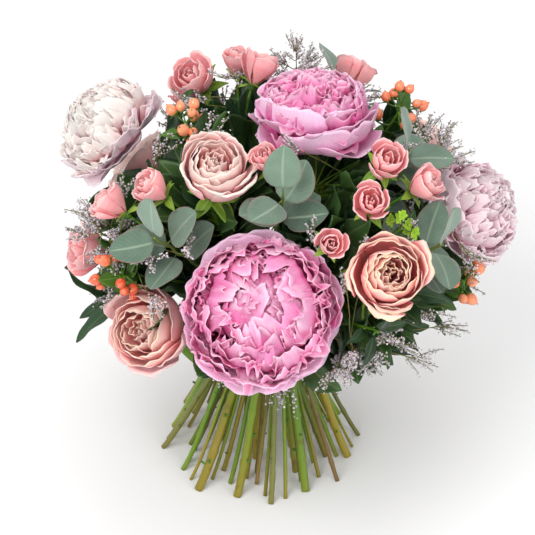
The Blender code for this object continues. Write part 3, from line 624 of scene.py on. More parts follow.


# Base, body and rim colours of the petals, how far along the first two reach, and other tints. The base
# colours are partly the petals' own and partly painted light: the saturated glow of light through the petals
# in the flowers' depths.
PETAL_TABLE = {
    "peony_pink": ((0.76, 0.09, 0.34), (0.86, 0.28, 0.50), (0.90, 0.56, 0.71), 0.5, 0.78),
    "peony_guard": ((0.78, 0.24, 0.50), (0.89, 0.46, 0.69), (0.92, 0.62, 0.81), 0.35, 0.7),
    "peony_white": ((0.86, 0.44, 0.46), (0.90, 0.75, 0.72), (0.89, 0.84, 0.80), 0.4, 0.7),
    "peony_blush": ((0.78, 0.30, 0.44), (0.84, 0.59, 0.66), (0.85, 0.73, 0.75), 0.4, 0.74),
    "peony_blush_guard": ((0.84, 0.50, 0.60), (0.90, 0.68, 0.75), (0.91, 0.78, 0.83), 0.3, 0.6),
    "rose_cream": ((0.99, 0.32, 0.32), (0.99, 0.60, 0.52), (0.95, 0.81, 0.50), 0.5, 0.76),
    "rose_peach": ((0.99, 0.36, 0.35), (0.99, 0.60, 0.54), (0.97, 0.79, 0.58), 0.5, 0.76),
    "rose_blush": ((0.92, 0.42, 0.42), (0.96, 0.71, 0.65), (0.96, 0.85, 0.76), 0.48, 0.74),
    "spray_coral": ((0.99, 0.36, 0.38), (1.0, 0.54, 0.53), (0.99, 0.70, 0.67), 0.42, 0.8),
}
TINTS = {
    "peony_white": {"fleck": (0.6, 0.03, 0.12)},
    "rose_cream": {"heart": (1.0, 0.97, 0.97)},
    "rose_peach": {"heart": (1.0, 0.95, 0.95), "outer": (0.90, 0.52, 0.52)},
    "rose_blush": {"heart": (1.0, 0.88, 0.88)},
    "spray_coral": {"heart": (1.0, 0.90, 0.92)},
}
PETAL = {name: petal_material(name, *row, **TINTS.get(name, {})) for name, row in PETAL_TABLE.items()}
# Dark, light and midrib colours of the leaves, and their roughness.
LEAF_TABLE = {
    "rose_leaf": ((0.014, 0.04, 0.012), (0.05, 0.12, 0.025), (0.13, 0.20, 0.06), 0.42),
    "sepal": ((0.12, 0.26, 0.02), (0.26, 0.42, 0.04), (0.4, 0.5, 0.12), 0.5),
    "dark_leaf": ((0.008, 0.024, 0.010), (0.030, 0.08, 0.030), (0.09, 0.15, 0.06), 0.38),
    "berry_leaf": ((0.03, 0.10, 0.01), (0.10, 0.22, 0.03), (0.2, 0.32, 0.07), 0.4),
    "lime_bract": ((0.20, 0.42, 0.01), (0.36, 0.58, 0.03), (0.5, 0.65, 0.12), 0.5),
    "eucalyptus_leaf": ((0.06, 0.12, 0.075), (0.16, 0.25, 0.18), (0.27, 0.36, 0.25), 0.6),
}
WAXY = {"eucalyptus_leaf": {"edge": (0.24, 0.15, 0.12), "bloom": 0.3}}
LEAF = {name: leaf_material(name, *row, **WAXY.get(name, {})) for name, row in LEAF_TABLE.items()}
STEM = stem_material("stem", (0.07, 0.20, 0.01), (0.17, 0.27, 0.01), (0.28, 0.22, 0.015), (0.12, 0.06, 0.01))
TWIG = stem_material("twig", (0.12, 0.17, 0.03), (0.19, 0.18, 0.03), (0.27, 0.16, 0.04), (0.10, 0.05, 0.02))
BERRY = berry_material()
FLORET = floret_material()
CORD = cord_material()


# ---- Peony --------------------------------------------------------------------------------------


# Petals of one sort in a peony. A pair runs from the row's first petal to its last, lengths are
# shares of the flower's radius and angles are degrees. lean: from the axis to the petals' tips.
# cup: half angle of the petal's hollow. curl: how far the tip bends out past its lean. ruffle:
# height of its waves. notch: depth of the cuts in its rim. start: where it begins.
PetalRow = collections.namedtuple("PetalRow", "count lean width length cup curl ruffle notch start twist")


def of_petals(rows, key):
    """The value of every petal."""
    values = []
    for row in rows:
        value = getattr(row, key)
        first, last = value if isinstance(value, tuple) else (value, value)
        values.append(np.linspace(first, last, row.count))
    return np.concatenate(values)[:, None, None]


def draws(rng, count):
    """Two makers of random numbers for count petals: phases, and strays of up to an amount."""

    def phase():
        return rng.uniform(0, math.tau, (count, 1, 1))

    def stray(amount):
        return rng.uniform(-1, 1, (count, 1, 1)) * amount

    return phase, stray


def pressed(out, up, spread, rise, drop):
    """The points drawn back softly to the globe that the petals press each other into."""
    reach = np.sqrt(out**2 + spread**2 + up**2) + 1e-9
    cos = up / reach
    deep = np.where(cos > 0, rise, drop)
    globe = 1 / np.sqrt(1 - cos**2 + (cos / deep) ** 2)
    share = reach / globe
    held = GLOBE_CORE + GLOBE_RIM * np.tanh((share - GLOBE_CORE) / GLOBE_RIM)
    factor = np.where(share > GLOBE_CORE, held / share, 1)
    return out * factor, up * factor, spread * factor


def petal_grid(rows, columns):
    """How far along and across each point of a petal is."""
    return np.linspace(0, 1, rows)[None, :, None], np.linspace(-1, 1, columns)[None, None, :]


def peony_petals(rows, radius, rise, drop, seed):
    """Grids and marks of all petals of a peony. rise and drop are its half heights above and below."""
    rng = np.random.default_rng(seed)
    count = sum(row.count for row in rows)
    phase, stray = draws(rng, count)
    lean = np.radians(of_petals(rows, "lean") + stray(6))
    azimuth = (np.arange(count) * GOLDEN)[:, None, None] + stray(0.35)
    width = of_petals(rows, "width") * (1 + stray(0.25))
    length = of_petals(rows, "length") * (1 + stray(0.06))
    cup = np.radians(of_petals(rows, "cup")) * (1 + stray(0.35))
    curl = np.radians(of_petals(rows, "curl") + stray(12))
    twist = np.radians(of_petals(rows, "twist") * stray(1))
    ruffle, notch, start = (of_petals(rows, key) for key in ("ruffle", "notch", "start"))
    waves = rng.uniform(0.7, 1.5, (3, count, 1, 1))
    v, u = petal_grid(*PEONY_GRID)
    # The rim: rounded, with cuts of two kinds.
    cuts = (0.5 + 0.5 * np.sin(math.tau * waves[0] * 0.9 * u + phase())) ** 3
    cuts = cuts + 0.4 * np.sin(math.tau * waves[1] * 1.3 * u + phase()) ** 2
    reach = v * (1 - smooth((v - 0.3) / 0.7) * (notch * cuts + 0.26 * np.abs(u) ** 2.6))
    half = width * np.clip(0.30 + 0.95 * np.sin(math.pi * 0.62 * reach**0.8), 0, 1.1) / 2
    # The middle line of the petal, from its start to its rim.
    polar = lean + np.radians(34) * (1 - reach) ** 2 + curl * smooth((reach - 0.55) / 0.45)
    deep = np.where(np.cos(polar) > 0, rise, drop)
    dome = 1 / np.sqrt(np.sin(polar) ** 2 + (np.cos(polar) / deep) ** 2)
    away = (start + (length - start) * reach**0.85) * dome
    out, up = away * np.sin(polar), away * np.cos(polar)
    # Its width bent round into a hollow, with waves that grow towards the rim.
    angle = u * cup
    spread = half / cup * np.sin(angle)
    wave = 0.6 * np.sin(math.tau * waves[0] * u * 0.8 + phase())
    wave = wave + 0.45 * np.sin(math.tau * waves[1] * u * 1.9 + phase()) * (0.4 + np.abs(u))
    wave = wave + 0.35 * np.sin(math.tau * (waves[2] * reach * 1.4 + u * 0.7) + phase())
    hollow = half / cup * (1 - np.cos(angle)) + ruffle * smooth((reach - 0.15) / 0.85) * wave
    hollow, spread = hollow + spread * np.sin(twist * reach), spread * np.cos(twist * reach)
    tilt = polar - np.radians(20)
    out, up = out - hollow * np.cos(tilt), up + hollow * np.sin(tilt)
    out, up, spread = pressed(out, up, spread, rise, drop)
    cos, sin = np.cos(azimuth), np.sin(azimuth)
    grids = np.stack([out * cos - spread * sin, out * sin + spread * cos, up], axis=-1)
    shade = rng.uniform(0, 1, (count, 1, 1))
    marks = np.stack([0 * out + u, reach + 0 * out, shade + 0 * out], axis=-1)
    return grids * radius, marks


PEONY_GRID = (13, 23)
GLOBE_CORE, GLOBE_RIM = 0.93, 0.09  # petals bend freely up to the first share of the globe's radius
CORE = PetalRow(60, (92, 3), (0.44, 0.36), (0.88, 0.84), 36, 0, 0.05, 0.1, 0.45, 20)
FULL = [
    CORE,
    PetalRow(40, (90, 48), (0.60, 0.52), (0.97, 0.99), 42, -18, 0.055, 0.15, 0.5, 18),
    PetalRow(22, (50, 8), (0.66, 0.50), (0.99, 0.98), 50, -14, 0.07, 0.16, 0.5, 28),
    PetalRow(34, (80, 16), (0.42, 0.34), (0.97, 0.94), 58, 4, 0.09, 0.2, 0.5, 42),
    PetalRow(11, (56, 6), (0.60, 0.48), (0.99, 0.98), 34, -22, 0.08, 0.18, 0.55, 30),
]
FLUFFY = [
    CORE,
    PetalRow(38, (88, 52), (0.56, 0.50), (0.97, 0.99), 44, -12, 0.06, 0.16, 0.45, 18),
    PetalRow(56, (50, 4), (0.44, 0.36), (0.98, 0.96), 54, -12, 0.08, 0.18, 0.45, 30),
]
TALL = [
    CORE,
    PetalRow(18, (64, 48), (0.72, 0.62), (0.96, 0.98), 44, -14, 0.05, 0.12, 0.45, 12),
    PetalRow(34, (46, 4), (0.48, 0.38), (0.97, 0.97), 60, -6, 0.09, 0.2, 0.5, 35),
    PetalRow(24, (44, 6), (0.38, 0.30), (0.98, 1.0), 60, 6, 0.1, 0.22, 0.5, 45),
]
GUARDS = [
    PetalRow(6, (112, 106), (1.0, 0.9), (0.98, 0.98), 34, -8, 0.035, 0.06, 0.2, 12),
    PetalRow(9, (98, 88), (0.9, 0.8), (0.98, 1.0), 38, -12, 0.04, 0.08, 0.25, 12),
]
BOWL = [
    PetalRow(6, (96, 84), (1.15, 1.05), (0.99, 0.99), 45, -8, 0.03, 0.05, 0.2, 6),
    PetalRow(11, (72, 50), (1.05, 0.9), (1.0, 1.0), 45, -10, 0.03, 0.07, 0.25, 6),
]


def make_peony(name, inner, guard, slot, inner_skin, guard_skin, seed):
    nodes = [f"{name}_inner_petals", f"{name}_guard_petals"]
    place = flower_place(f"{name}_stem", *nodes[::-1])
    rise, drop = place.height / place.size * 1.12, place.height / place.size * 0.88
    for node, rows, skin in zip(nodes, (inner, guard), (inner_skin, guard_skin)):
        heap = Heap()
        heap.add_grids(*peony_petals(rows, place.size / 2 * 0.99, rise, drop, seed + len(rows)))
        heap.piece(f"{node}_ruffled", PETAL[skin], slot, [node], PETAL_THICKNESS, place.matrix(seed))
    return place


# ---- Roses --------------------------------------------------------------------------------------


def rose_petals(place, seed, count, outer, detail):
    """Grids and marks of a rose. Petals wrap the middle, and the outer share of them rolls back."""
    radius, height = place.size / 2, place.height
    rng = np.random.default_rng(seed)
    phase, stray = draws(rng, count)
    t = np.linspace(0, 1, count)[:, None, None]  # 0 for the outermost petal, 1 for the innermost
    azimuth = (np.arange(count) * GOLDEN)[:, None, None] + stray(0.4)
    body = radius * (0.88 * (1 - t) ** 0.75 + 0.05) * (1 + stray(0.07))
    top = height * (0.36 + 0.12 * smooth(t / 0.5) - 0.08 * t**3 + stray(0.045))
    wrap = np.radians(46 + 44 * t) * (1 + stray(0.22))
    roll = np.clip(1 - t / outer, 0, 1) ** 0.6 * (0.9 + stray(0.3))
    aside = radius * 0.08 * np.sin(math.pi * t)
    shift = [aside * np.cos(turn) for turn in (phase(), phase())]
    v, u = petal_grid(*detail)
    # The rim: a small point in the middle, and sides that fall away.
    tip = 0.06 * np.exp(-((u / 0.18) ** 2)) * (0.4 + roll)
    edge = 0.95 + tip - 0.76 * np.abs(u) ** 3.4 - 0.03 * np.sin(math.tau * u * 1.3 + phase())
    reach = v * edge
    # How far out the petal is: it swells, then leans in, or rolls back if it is an outer one.
    swell = np.sin(math.pi * 0.5 * np.clip(reach / 0.55, 0, 1)) ** 0.8
    lean_in = (0.02 + 0.30 * t + stray(0.05)) * smooth((reach - 0.5) / 0.5) * (1 - roll)
    out = body * (swell * 0.96 + 0.04 - lean_in)
    rolled = roll * smooth((reach - 0.62) / 0.38)
    out = out + rolled * radius * (0.10 + 0.12 * np.abs(u))
    # How high it is, and the waves of its rim.
    base = -height * 0.46
    up = base + (top - base) * np.sin(math.pi * 0.5 * np.clip(reach * 1.05, 0, 1)) ** 0.9
    up = up - rolled**2 * height * (0.08 + 0.08 * np.abs(u))
    wave = 0.6 * np.sin(math.tau * u * 0.9 + phase()) + 0.4 * np.sin(math.tau * u * 2.1 + phase())
    out = out + radius * (0.045 + 0.03 * t) * smooth((reach - 0.4) / 0.6) * wave
    out = out * (1 + (0.05 + 0.05 * (1 - t)) * u * np.minimum(1, 0.3 + swell))
    angle = azimuth + u * wrap * (0.35 + 0.65 * np.sin(math.pi * 0.5 * np.clip(reach / 0.5, 0.05, 1)))
    up = up + height * 0.03 * smooth((reach - 0.5) / 0.5) * np.sin(math.tau * u * 0.8 + phase())
    grids = np.stack([out * np.cos(angle) + shift[0], out * np.sin(angle) + shift[1], up], axis=-1)
    shade = rng.uniform(0, 1, (count, 1, 1))
    marks = np.stack([t + 0 * out, reach + 0 * out, shade + 0 * out], axis=-1)
    return grids, marks


SEPAL_SHAPE = LeafShape(0.42, low=0.7, point=0.9, fold=0.3, droop=0.35)


def add_calyx(sepals, stems, place, rng, seed, rise):
    """Five sepals under a rose, which rise by up to a share of their length, and their green swelling."""
    turn = place.matrix(seed).to_3x3()
    foot = place.middle - place.axis * place.height * 0.47
    length = place.size * 0.56
    for i in range(5):
        angle = math.tau * i / 5 + rng.uniform(-0.2, 0.2)
        out = turn @ Vector((math.cos(angle), math.sin(angle), 0))
        side = out.cross(place.axis)
        tip = foot + out * length * rng.uniform(0.75, 1.0) + place.axis * length * rng.uniform(-0.2, rise)
        add_leaf(sepals, rng, foot, tip, side, place.axis, SEPAL_SHAPE, (9, 5))
    path = np.array([tuple(foot - place.axis * place.size * s) for s in (0.14, 0.09, 0.03, -0.03)])
    add_tube(stems, path, place.size * np.array([0.03, 0.08, 0.09, 0.07]), 0.9)


def make_rose(name, skin, slot, sepals, stems, seed):
    place = flower_place(f"{name}_stem", f"{name}_bloom")
    heap = Heap()
    heap.add_grids(*rose_petals(place, seed, 36, 0.3, (13, 19)))
    heap.piece(f"{name}_petals", PETAL[skin], slot, [f"{name}_bloom"], PETAL_THICKNESS, place.matrix(seed))
    add_calyx(sepals, stems, place, np.random.default_rng(seed), seed, -0.1)
    return place


def make_small_rose(node, sepals, stems, seed):
    place, start = small_rose_place(node)
    rng = np.random.default_rng(seed)
    heap = Heap()
    heap.add_grids(*rose_petals(place, seed, 15, 0.4, (11, 15)))
    skin = "spray_coral"
    heap.piece(f"{node}_petals", PETAL[skin], skin, [node], PETAL_THICKNESS, place.matrix(seed))
    add_calyx(sepals, stems, place, rng, seed, 0.5)
    foot = place.middle - place.axis * place.height / 2
    bend = foot - place.axis * (foot - start).length * 0.4
    add_tube(stems, arc(start, bend, foot, 12), 1.3 * MM, rng.uniform(0.5, 1))
    return place


# ---- Stems and leaves ---------------------------------------------------------------------------


STEM_ROWS = 90
FILLER_RADII = (1.3 * MM, 2.2 * MM)


def make_stem(node, rng, is_thin):
    """A smooth stem along the line of the CAD one, with swollen nodes and three stubs of side shoots."""
    sprig = SPRIGS[node]
    path = smooth_path(sprig.line, STEM_ROWS)
    along = np.linspace(0, 1, STEM_ROWS)
    shape = 1 - 0.25 * along
    for at in np.arange(rng.uniform(0.05, 0.12), 0.9, rng.uniform(0.11, 0.17)):
        shape = shape + 0.22 * np.exp(-(((along - at) / 0.008) ** 2))
    radius = sprig.radius * 0.94 * shape
    if not node.endswith("_stem"):
        radius = radius * np.where(along > 0.6, 1 - 0.9 * (along - 0.6), 1)
    heap = Heap()
    shade = rng.uniform(0, 1)
    add_tube(heap, path, radius, shade, 10)
    heap.points[0][:, 2] = np.maximum(heap.points[0][:, 2], path[0][2])
    for row in rng.choice(np.arange(4, 26), 3, replace=False):
        way = Vector(path[row + 1] - path[row]).normalized()
        aside = Vector(rng.normal(size=3)).cross(way).normalized()
        foot, reach = Vector(path[row]), float(radius[row])
        stub = foot + (aside * 1.9 + way * 0.9) * reach
        add_tube(heap, arc(foot, foot.lerp(stub, 0.5), stub, 4), reach * rng.uniform(0.25, 0.4), shade, 6)
    heap.piece(f"{node}_line", TWIG if is_thin else STEM, "stem", [node])


def make_filler_stems(rng):
    """Thin stems of the filling leaves, each about halfway between two neighbouring stems of the CAD."""
    heap = Heap()
    paths = [smooth_path(sprig.line, 60) for sprig in SPRIGS.values() if sprig.line[0].z < 5 * MM]
    paths.sort(key=lambda path: math.atan2(path[0][1] - AXIS.y, path[0][0] - AXIS.x))
    for first, second in zip(paths, paths[1:] + paths[:1]):
        share = rng.uniform(0.4, 0.6)
        path = (first * share + second * (1 - share))[:40]
        radius = rng.uniform(*FILLER_RADII) * np.linspace(1, 0.8, len(path))
        add_tube(heap, path, radius, rng.uniform(0, 1), 10)
        heap.points[-1][:, 2] = np.maximum(heap.points[-1][:, 2], 0)
    heap.piece("filler_stems", STEM, "stem")


EUCALYPTUS_SHAPE = LeafShape(0.86, low=0.8, point=0.55, fold=0.12, droop=0.12, wave=0.015)
BERRY_SHAPE = LeafShape(0.5, low=0.75, point=0.9, fold=0.25, droop=0.2)
LANCE_SHAPE = LeafShape(0.34, low=0.8, fold=0.3, droop=0.3, wave=0.03)
ROSE_SHAPE = LeafShape(0.6, low=0.8, point=0.85, fold=0.3, droop=0.25, wave=0.03, teeth=0.12)
BRACT_SHAPE = LeafShape(0.7, low=0.8, point=0.7)
CUP_SHAPE = LeafShape(0.6, low=0.8, point=0.7, fold=0.5, droop=0.2, wave=0.0)


def outward(point):
    """Away from the middle of the bouquet's head."""
    return (point - HEAD).normalized()


def nearest(line, point):
    """The place on a line of points that is nearest to the point."""
    path = smooth_path(line, 80)
    return Vector(path[np.linalg.norm(path - np.array(point), axis=1).argmin()])


def sprig_leaves(node, shape, rng, leaves, stalks):
    """The leaves of a sprig, each on its own stalk, where the CAD has them."""
    for blade in SPRIGS[node].leaves:
        root = nearest(SPRIGS[node].line, blade.foot)
        foot = blade.foot + (root - blade.foot) * 0.35
        add_leaf(leaves, rng, foot, blade.tip, blade.side, outward(blade.foot), shape)
        add_tube(stalks, arc(root, foot + (root - foot) * 0.4, foot, 5), 0.7 * MM, rng.uniform(0.5, 1), 6)


def make_leaf_sprig(node, rng, shape, skin, slot, stalk_skin):
    leaves, stalks = Heap(), Heap()
    sprig_leaves(node, shape, rng, leaves, stalks)
    leaves.piece(f"{node}_leaves", LEAF[skin], slot, [node], LEAF_THICKNESS)
    stalks.piece(f"{node}_stalks", stalk_skin, "stem")


def make_bupleurum(node, rng):
    """A lime rosette of round bracts at each place where the CAD has a leaf."""
    leaves, stalks = Heap(), Heap()
    for blade in SPRIGS[node].leaves:
        root = nearest(SPRIGS[node].line, blade.foot)
        middle = blade.foot.lerp(blade.tip, 0.5)
        out = outward(middle)
        side = out.orthogonal().normalized()
        for i in range(7):
            way = Matrix.Rotation(i * GOLDEN, 3, out) @ side
            tip = middle + way * blade.width * rng.uniform(0.35, 0.6) + out * blade.width * 0.12
            add_leaf(leaves, rng, middle, tip, way.cross(out), out, BRACT_SHAPE, (8, 7))
        add_tube(stalks, arc(root, root.lerp(middle, 0.6) - out * 2 * MM, middle, 6), 0.6 * MM, 1.0, 6)
    leaves.piece(f"{node}_bracts", LEAF["lime_bract"], "bupleurum", [node], LEAF_THICKNESS)
    stalks.piece(f"{node}_stalks", STEM, "stem")


def add_berry(berries, base, way, length, width, shade):
    """A glossy egg from base along way, with three short styles left as a dark point."""
    v = np.linspace(0, 1, 12)
    path = np.array(base) + np.outer(v * length, np.array(way))
    radii = width / 2 * np.sin(math.pi * np.clip(v, 0.02, 1) ** 0.86) ** 0.72
    radii[-2:] = width * np.array([0.10, 0.04])
    add_tube(berries, path, np.maximum(radii, 0.2 * MM), shade, 12)


BERRY_WIDTH = (9.5, 11.5)  # millimetres
BERRY_LEAVES = 12  # added to each sprig near its top
BERRY_LEAF_LENGTH = (24, 36)  # millimetres


def make_hypericum(node, rng, ripe, places):
    """Berries in their green cups: one where the CAD has each, and a smaller one beside it."""
    leaves, berries, cups, stalks = Heap(), Heap(), Heap(), Heap()
    sprig = SPRIGS[node]
    sprig_leaves(node, BERRY_SHAPE, rng, leaves, stalks)
    balls = [(ball.tip, (ball.tip - ball.foot).normalized(), ball.foot, 1.0) for ball in sprig.balls]
    for tip, way, foot, _ in list(balls):
        aside = Vector(rng.normal(size=3)).cross(way).normalized()
        balls.append((tip + aside * 11 * MM - way * 5 * MM, (way + aside * 0.8).normalized(), foot, 0.8))
    for tip, way, foot, share in balls:
        root = nearest(sprig.line, foot)
        width = rng.uniform(*BERRY_WIDTH) * MM * share
        way = (way + outward(tip) * 0.5).normalized()
        length = width * 1.3
        base = tip - way * length * 0.9
        add_berry(berries, base, way, length, width, ripe + rng.uniform(-0.12, 0.12))
        side = way.orthogonal().normalized()
        for i in range(5):
            out = Matrix.Rotation(math.tau * i / 5, 3, way) @ side
            end = base + out * width * 0.62 + way * width * rng.uniform(0.1, 0.35)
            add_leaf(cups, rng, base, end, out.cross(way), way, CUP_SHAPE, (7, 5))
        path = arc(root, root.lerp(base, 0.5) - way * 3 * MM, base, 8)
        add_tube(stalks, path, 0.8 * MM, rng.uniform(0.7, 1), 6)
    line = smooth_path(sprig.line, 60)
    for _ in range(BERRY_LEAVES):
        foot = Vector(line[int(rng.uniform(44, 59))])
        way = (outward(foot) * 0.8 + Vector(rng.normal(size=3)) * 0.7).normalized()
        side = way.cross(outward(foot)).normalized()
        end = foot + way * rng.uniform(*BERRY_LEAF_LENGTH) * MM
        if is_clear(end, places, 1.05) and is_aside(end, places):
            add_leaf(leaves, rng, foot, end, side, outward(foot), BERRY_SHAPE)
    leaves.piece(f"{node}_leaves", LEAF["berry_leaf"], "foliage", [node], LEAF_THICKNESS)
    berries.piece(f"{node}_berries", BERRY, "berry", [node])
    cups.piece(f"{node}_sepals", LEAF["berry_leaf"], "foliage", (), LEAF_THICKNESS)
    stalks.piece(f"{node}_stalks", STEM, "stem")


def floret_grids(count, rng, spots, ways, size):
    """Small papery cups with five points, one at each spot, opening along its way."""
    turn = rng.uniform(0, math.tau, (count, 1, 1))
    v = np.linspace(0, 1, 4)[None, :, None]
    angle = np.linspace(0, math.tau, 10, endpoint=False)[None, None, :] + turn
    star = 1 + 0.35 * np.cos(5 * (angle - turn)) * v
    radius = size[:, None, None] / 2 * (0.2 + 0.8 * v**1.3) * star
    side = np.cross(ways, rng.normal(size=(count, 3)))
    side /= np.linalg.norm(side, axis=1)[:, None]
    up = size[:, None, None] * 0.9 * v + 0 * angle
    grids = spots[:, None, None, :]
    parts = (radius * np.cos(angle), radius * np.sin(angle), up)
    for part, axis in zip(parts, (side, np.cross(ways, side), ways)):
        grids = grids + part[..., None] * axis[:, None, None, :]
    shade = rng.uniform(0, 1, (count, 1, 1)) + 0 * up
    return grids, np.stack([0 * up, v + 0 * up, shade], axis=-1)


TWIG_FLORETS = 18
TWIG_ROWS = 24
FLORET_WIDTH = (1.3, 2.3)  # millimetres


def add_wisp(florets, twigs, rng, root, tip, twig_count, places):
    """A forking twig from root to tip with rows of tiny florets along its ends."""
    reach = (tip - root).length
    way = (tip - root) / reach
    add_tube(twigs, arc(root, root.lerp(tip, 0.5), root + way * reach * 0.6, 6), 0.5 * MM, 0.5, 5)
    for _ in range(twig_count):
        spray = (way + Vector(rng.normal(size=3)) * 0.35 + outward(tip) * 0.2).normalized()
        fork = root + way * reach * rng.uniform(0.25, 0.6)
        end = fork + spray * reach * rng.uniform(0.4, 0.7)
        if not is_clear(end, places, 1.08) or not is_aside(end, places):
            continue
        bend = fork.lerp(end, 0.5) - outward(fork) * reach * 0.08
        path = arc(fork, bend, end, TWIG_ROWS)
        add_tube(twigs, path, 0.4 * MM, rng.uniform(0, 1), 5)
        row = (rng.uniform(0.2, 1.0, TWIG_FLORETS) * (TWIG_ROWS - 1)).round().astype(int)
        spots = path[row] + rng.normal(size=(TWIG_FLORETS, 3)) * 1.3 * MM
        ways = rng.normal(size=(TWIG_FLORETS, 3)) * 0.6 + np.array(outward(end)) + np.array(spray) * 0.4
        ways /= np.linalg.norm(ways, axis=1)[:, None]
        sizes = rng.uniform(*FLORET_WIDTH, TWIG_FLORETS) * MM
        florets.add_grids(*floret_grids(TWIG_FLORETS, rng, spots, ways, sizes), is_round=True)


def make_limonium(node, rng, places):
    """Branching twigs with rows of tiny florets, where the CAD has its tufts."""
    florets, twigs = Heap(), Heap()
    sprig = SPRIGS[node]
    for blade in sprig.balls:
        add_wisp(florets, twigs, rng, nearest(sprig.line, blade.foot), blade.tip, 9, places)
    florets.piece(f"{node}_florets", FLORET, "limonium", [node])
    twigs.piece(f"{node}_twigs", TWIG, "stem")


# ---- Filling foliage ----------------------------------------------------------------------------


LEAF_TIPS = ((900, 4, 42), (600, 42, 95))  # candidates, and millimetres below the dome
LEAF_LENGTH = (42, 66)  # millimetres
LEAVES_FACE = AXIS + Vector((0, 0, 190 * MM))  # the filling leaves point away from here
WISP_TIPS = (130, -2, 20)
SILVER_ROOM = 11 * MM  # between a filling leaf and the points over a eucalyptus leaf
WISP_ROOM = 15 * MM
WISP_LENGTH = 45 * MM


def dome_points(count, first, last, rng):
    """Points spread over the dome, between these depths below it."""
    for i in range(count):
        polar = math.acos(1 - 1.4 * (i + 0.5) / count)
        azimuth = i * GOLDEN
        flat = math.sin(polar)
        way = Vector((flat * math.cos(azimuth), flat * math.sin(azimuth), math.cos(polar)))
        depth = rng.uniform(first, last) * MM
        yield HEAD + Vector(w * (r - depth) for w, r in zip(way, HEAD_REACH))


def is_clear(point, places, share):
    """Whether a point is outside all flowers, each scaled by this share."""
    return not any(place.holds(point, share) for place in places)


def is_aside(point, places):
    """Whether a point stands over no flower's open face."""
    return not any(place.faces(point) for place in places)


def silver_spots():
    """Points over every eucalyptus leaf, which the filling keeps away from."""
    spots = []
    for node in SPRIG_NAMES:
        if not node.startswith("eucalyptus"):
            continue
        for blade in SPRIGS[node].leaves:
            for along, aside in itertools.product((0.2, 0.5, 0.8), (-0.3, 0, 0.3)):
                spots.append(blade.foot.lerp(blade.tip, along) + blade.side * blade.width * aside)
    return np.array(spots)


def misses(spots, foot, tip, room):
    """Whether a leaf from foot to tip stays this far from all spots."""
    path = np.array([foot.lerp(tip, share) for share in (0.3, 0.55, 0.8, 1.0)])
    return np.linalg.norm(spots[:, None] - path, axis=2).min() > room


def make_filling(places, rng):
    """Leaves on the stems of the flowers, which close the gaps between the blooms."""
    roses, darks, stalks = Heap(), Heap(), Heap()
    lines = [smooth_path(SPRIGS[node].line, 60) for node in STEM_NAMES]
    spots = np.concatenate([line[27:] for line in lines])
    silver = silver_spots()
    tips = [tip for shell in LEAF_TIPS for tip in dome_points(*shell, rng)]
    for number, tip in enumerate(tips):
        if not is_clear(tip, places, 1.12):
            continue
        length = rng.uniform(*LEAF_LENGTH) * MM
        away = (tip - LEAVES_FACE).normalized()
        aim = tip - away * length * 1.1
        root = Vector(spots[np.linalg.norm(spots - np.array(aim), axis=1).argmin()])
        foot = root.lerp(tip, max(0.25, 1 - length / (tip - root).length))
        if (tip - foot).length < 18 * MM or not misses(silver, foot, tip, SILVER_ROOM):
            continue
        if not all(is_clear(foot.lerp(tip, share), places, 1.04) for share in (0.45, 0.75)):
            continue
        side = away.cross(Vector(rng.normal(size=3))).normalized()
        heap, shape = (roses, ROSE_SHAPE) if number % 3 else (darks, LANCE_SHAPE)
        add_leaf(heap, rng, foot, tip, side, outward(tip), shape)
        bend = root.lerp(foot, 0.5) + away * 4 * MM
        add_tube(stalks, arc(root, bend, foot, 6), 0.8 * MM, rng.uniform(0.5, 1), 6)
    roses.piece("rose_leaves", LEAF["rose_leaf"], "foliage", (), LEAF_THICKNESS)
    darks.piece("peony_leaves", LEAF["dark_leaf"], "foliage", (), LEAF_THICKNESS)
    stalks.piece("leaf_stalks", STEM, "stem")


def make_wisps(places, rng):
    """Small limonium sprays between the blooms, on the stems of the five sprigs."""
    florets, twigs = Heap(), Heap()
    lines = [smooth_path(SPRIGS[node].line, 60) for node in SPRIG_NAMES if node.startswith("limonium")]
    spots = np.concatenate([line[30:] for line in lines])
    silver = silver_spots()
    for tip in dome_points(*WISP_TIPS, rng):
        if not is_clear(tip, places, 1.02) or not misses(silver, tip, tip, WISP_ROOM):
            continue
        root = Vector(spots[np.linalg.norm(spots - np.array(tip), axis=1).argmin()])
        start = root.lerp(tip, max(0.0, 1 - WISP_LENGTH / (tip - root).length))
        bend = root.lerp(start, 0.5) - outward(tip) * 8 * MM
        add_tube(twigs, arc(root, bend, start, 10), 0.5 * MM, 0.5, 5)
        add_wisp(florets, twigs, rng, start, tip, 6, places)
    florets.piece("limonium_wisp_florets", FLORET, "limonium")
    twigs.piece("limonium_wisp_twigs", TWIG, "stem")


# ---- Binding ------------------------------------------------------------------------------------


CORD_RADIUS = 1.05 * MM
CORD_TURNS = 7
TAPE_CORNERS = 24


def make_binding():
    """Cord wound round the waist, where the CAD has its tape."""
    offset = points_of("binding_tape")[:, :2] - np.array(AXIS.xy)
    angles, reach = np.arctan2(offset[:, 1], offset[:, 0]), np.linalg.norm(offset, axis=1)
    steps = np.linspace(-math.pi, math.pi, TAPE_CORNERS, endpoint=False)
    width = math.pi / TAPE_CORNERS
    outer = [reach[np.abs((angles - s + math.pi) % math.tau - math.pi) <= width].max() for s in steps]
    turn = np.linspace(0, math.tau * CORD_TURNS, CORD_TURNS * 72)
    radius = np.interp(turn, steps, outer, period=math.tau) - CORD_RADIUS
    height = np.linspace(TAPE_LOW.z + CORD_RADIUS, TAPE_HIGH.z - CORD_RADIUS, len(turn))
    path = np.stack([AXIS.x + radius * np.cos(turn), AXIS.y + radius * np.sin(turn), height], axis=1)
    heap = Heap()
    add_tube(heap, path, CORD_RADIUS * 1.05)
    heap.piece("binding_cord", CORD, "tape", ["binding_tape"])


# ---- Stage --------------------------------------------------------------------------------------

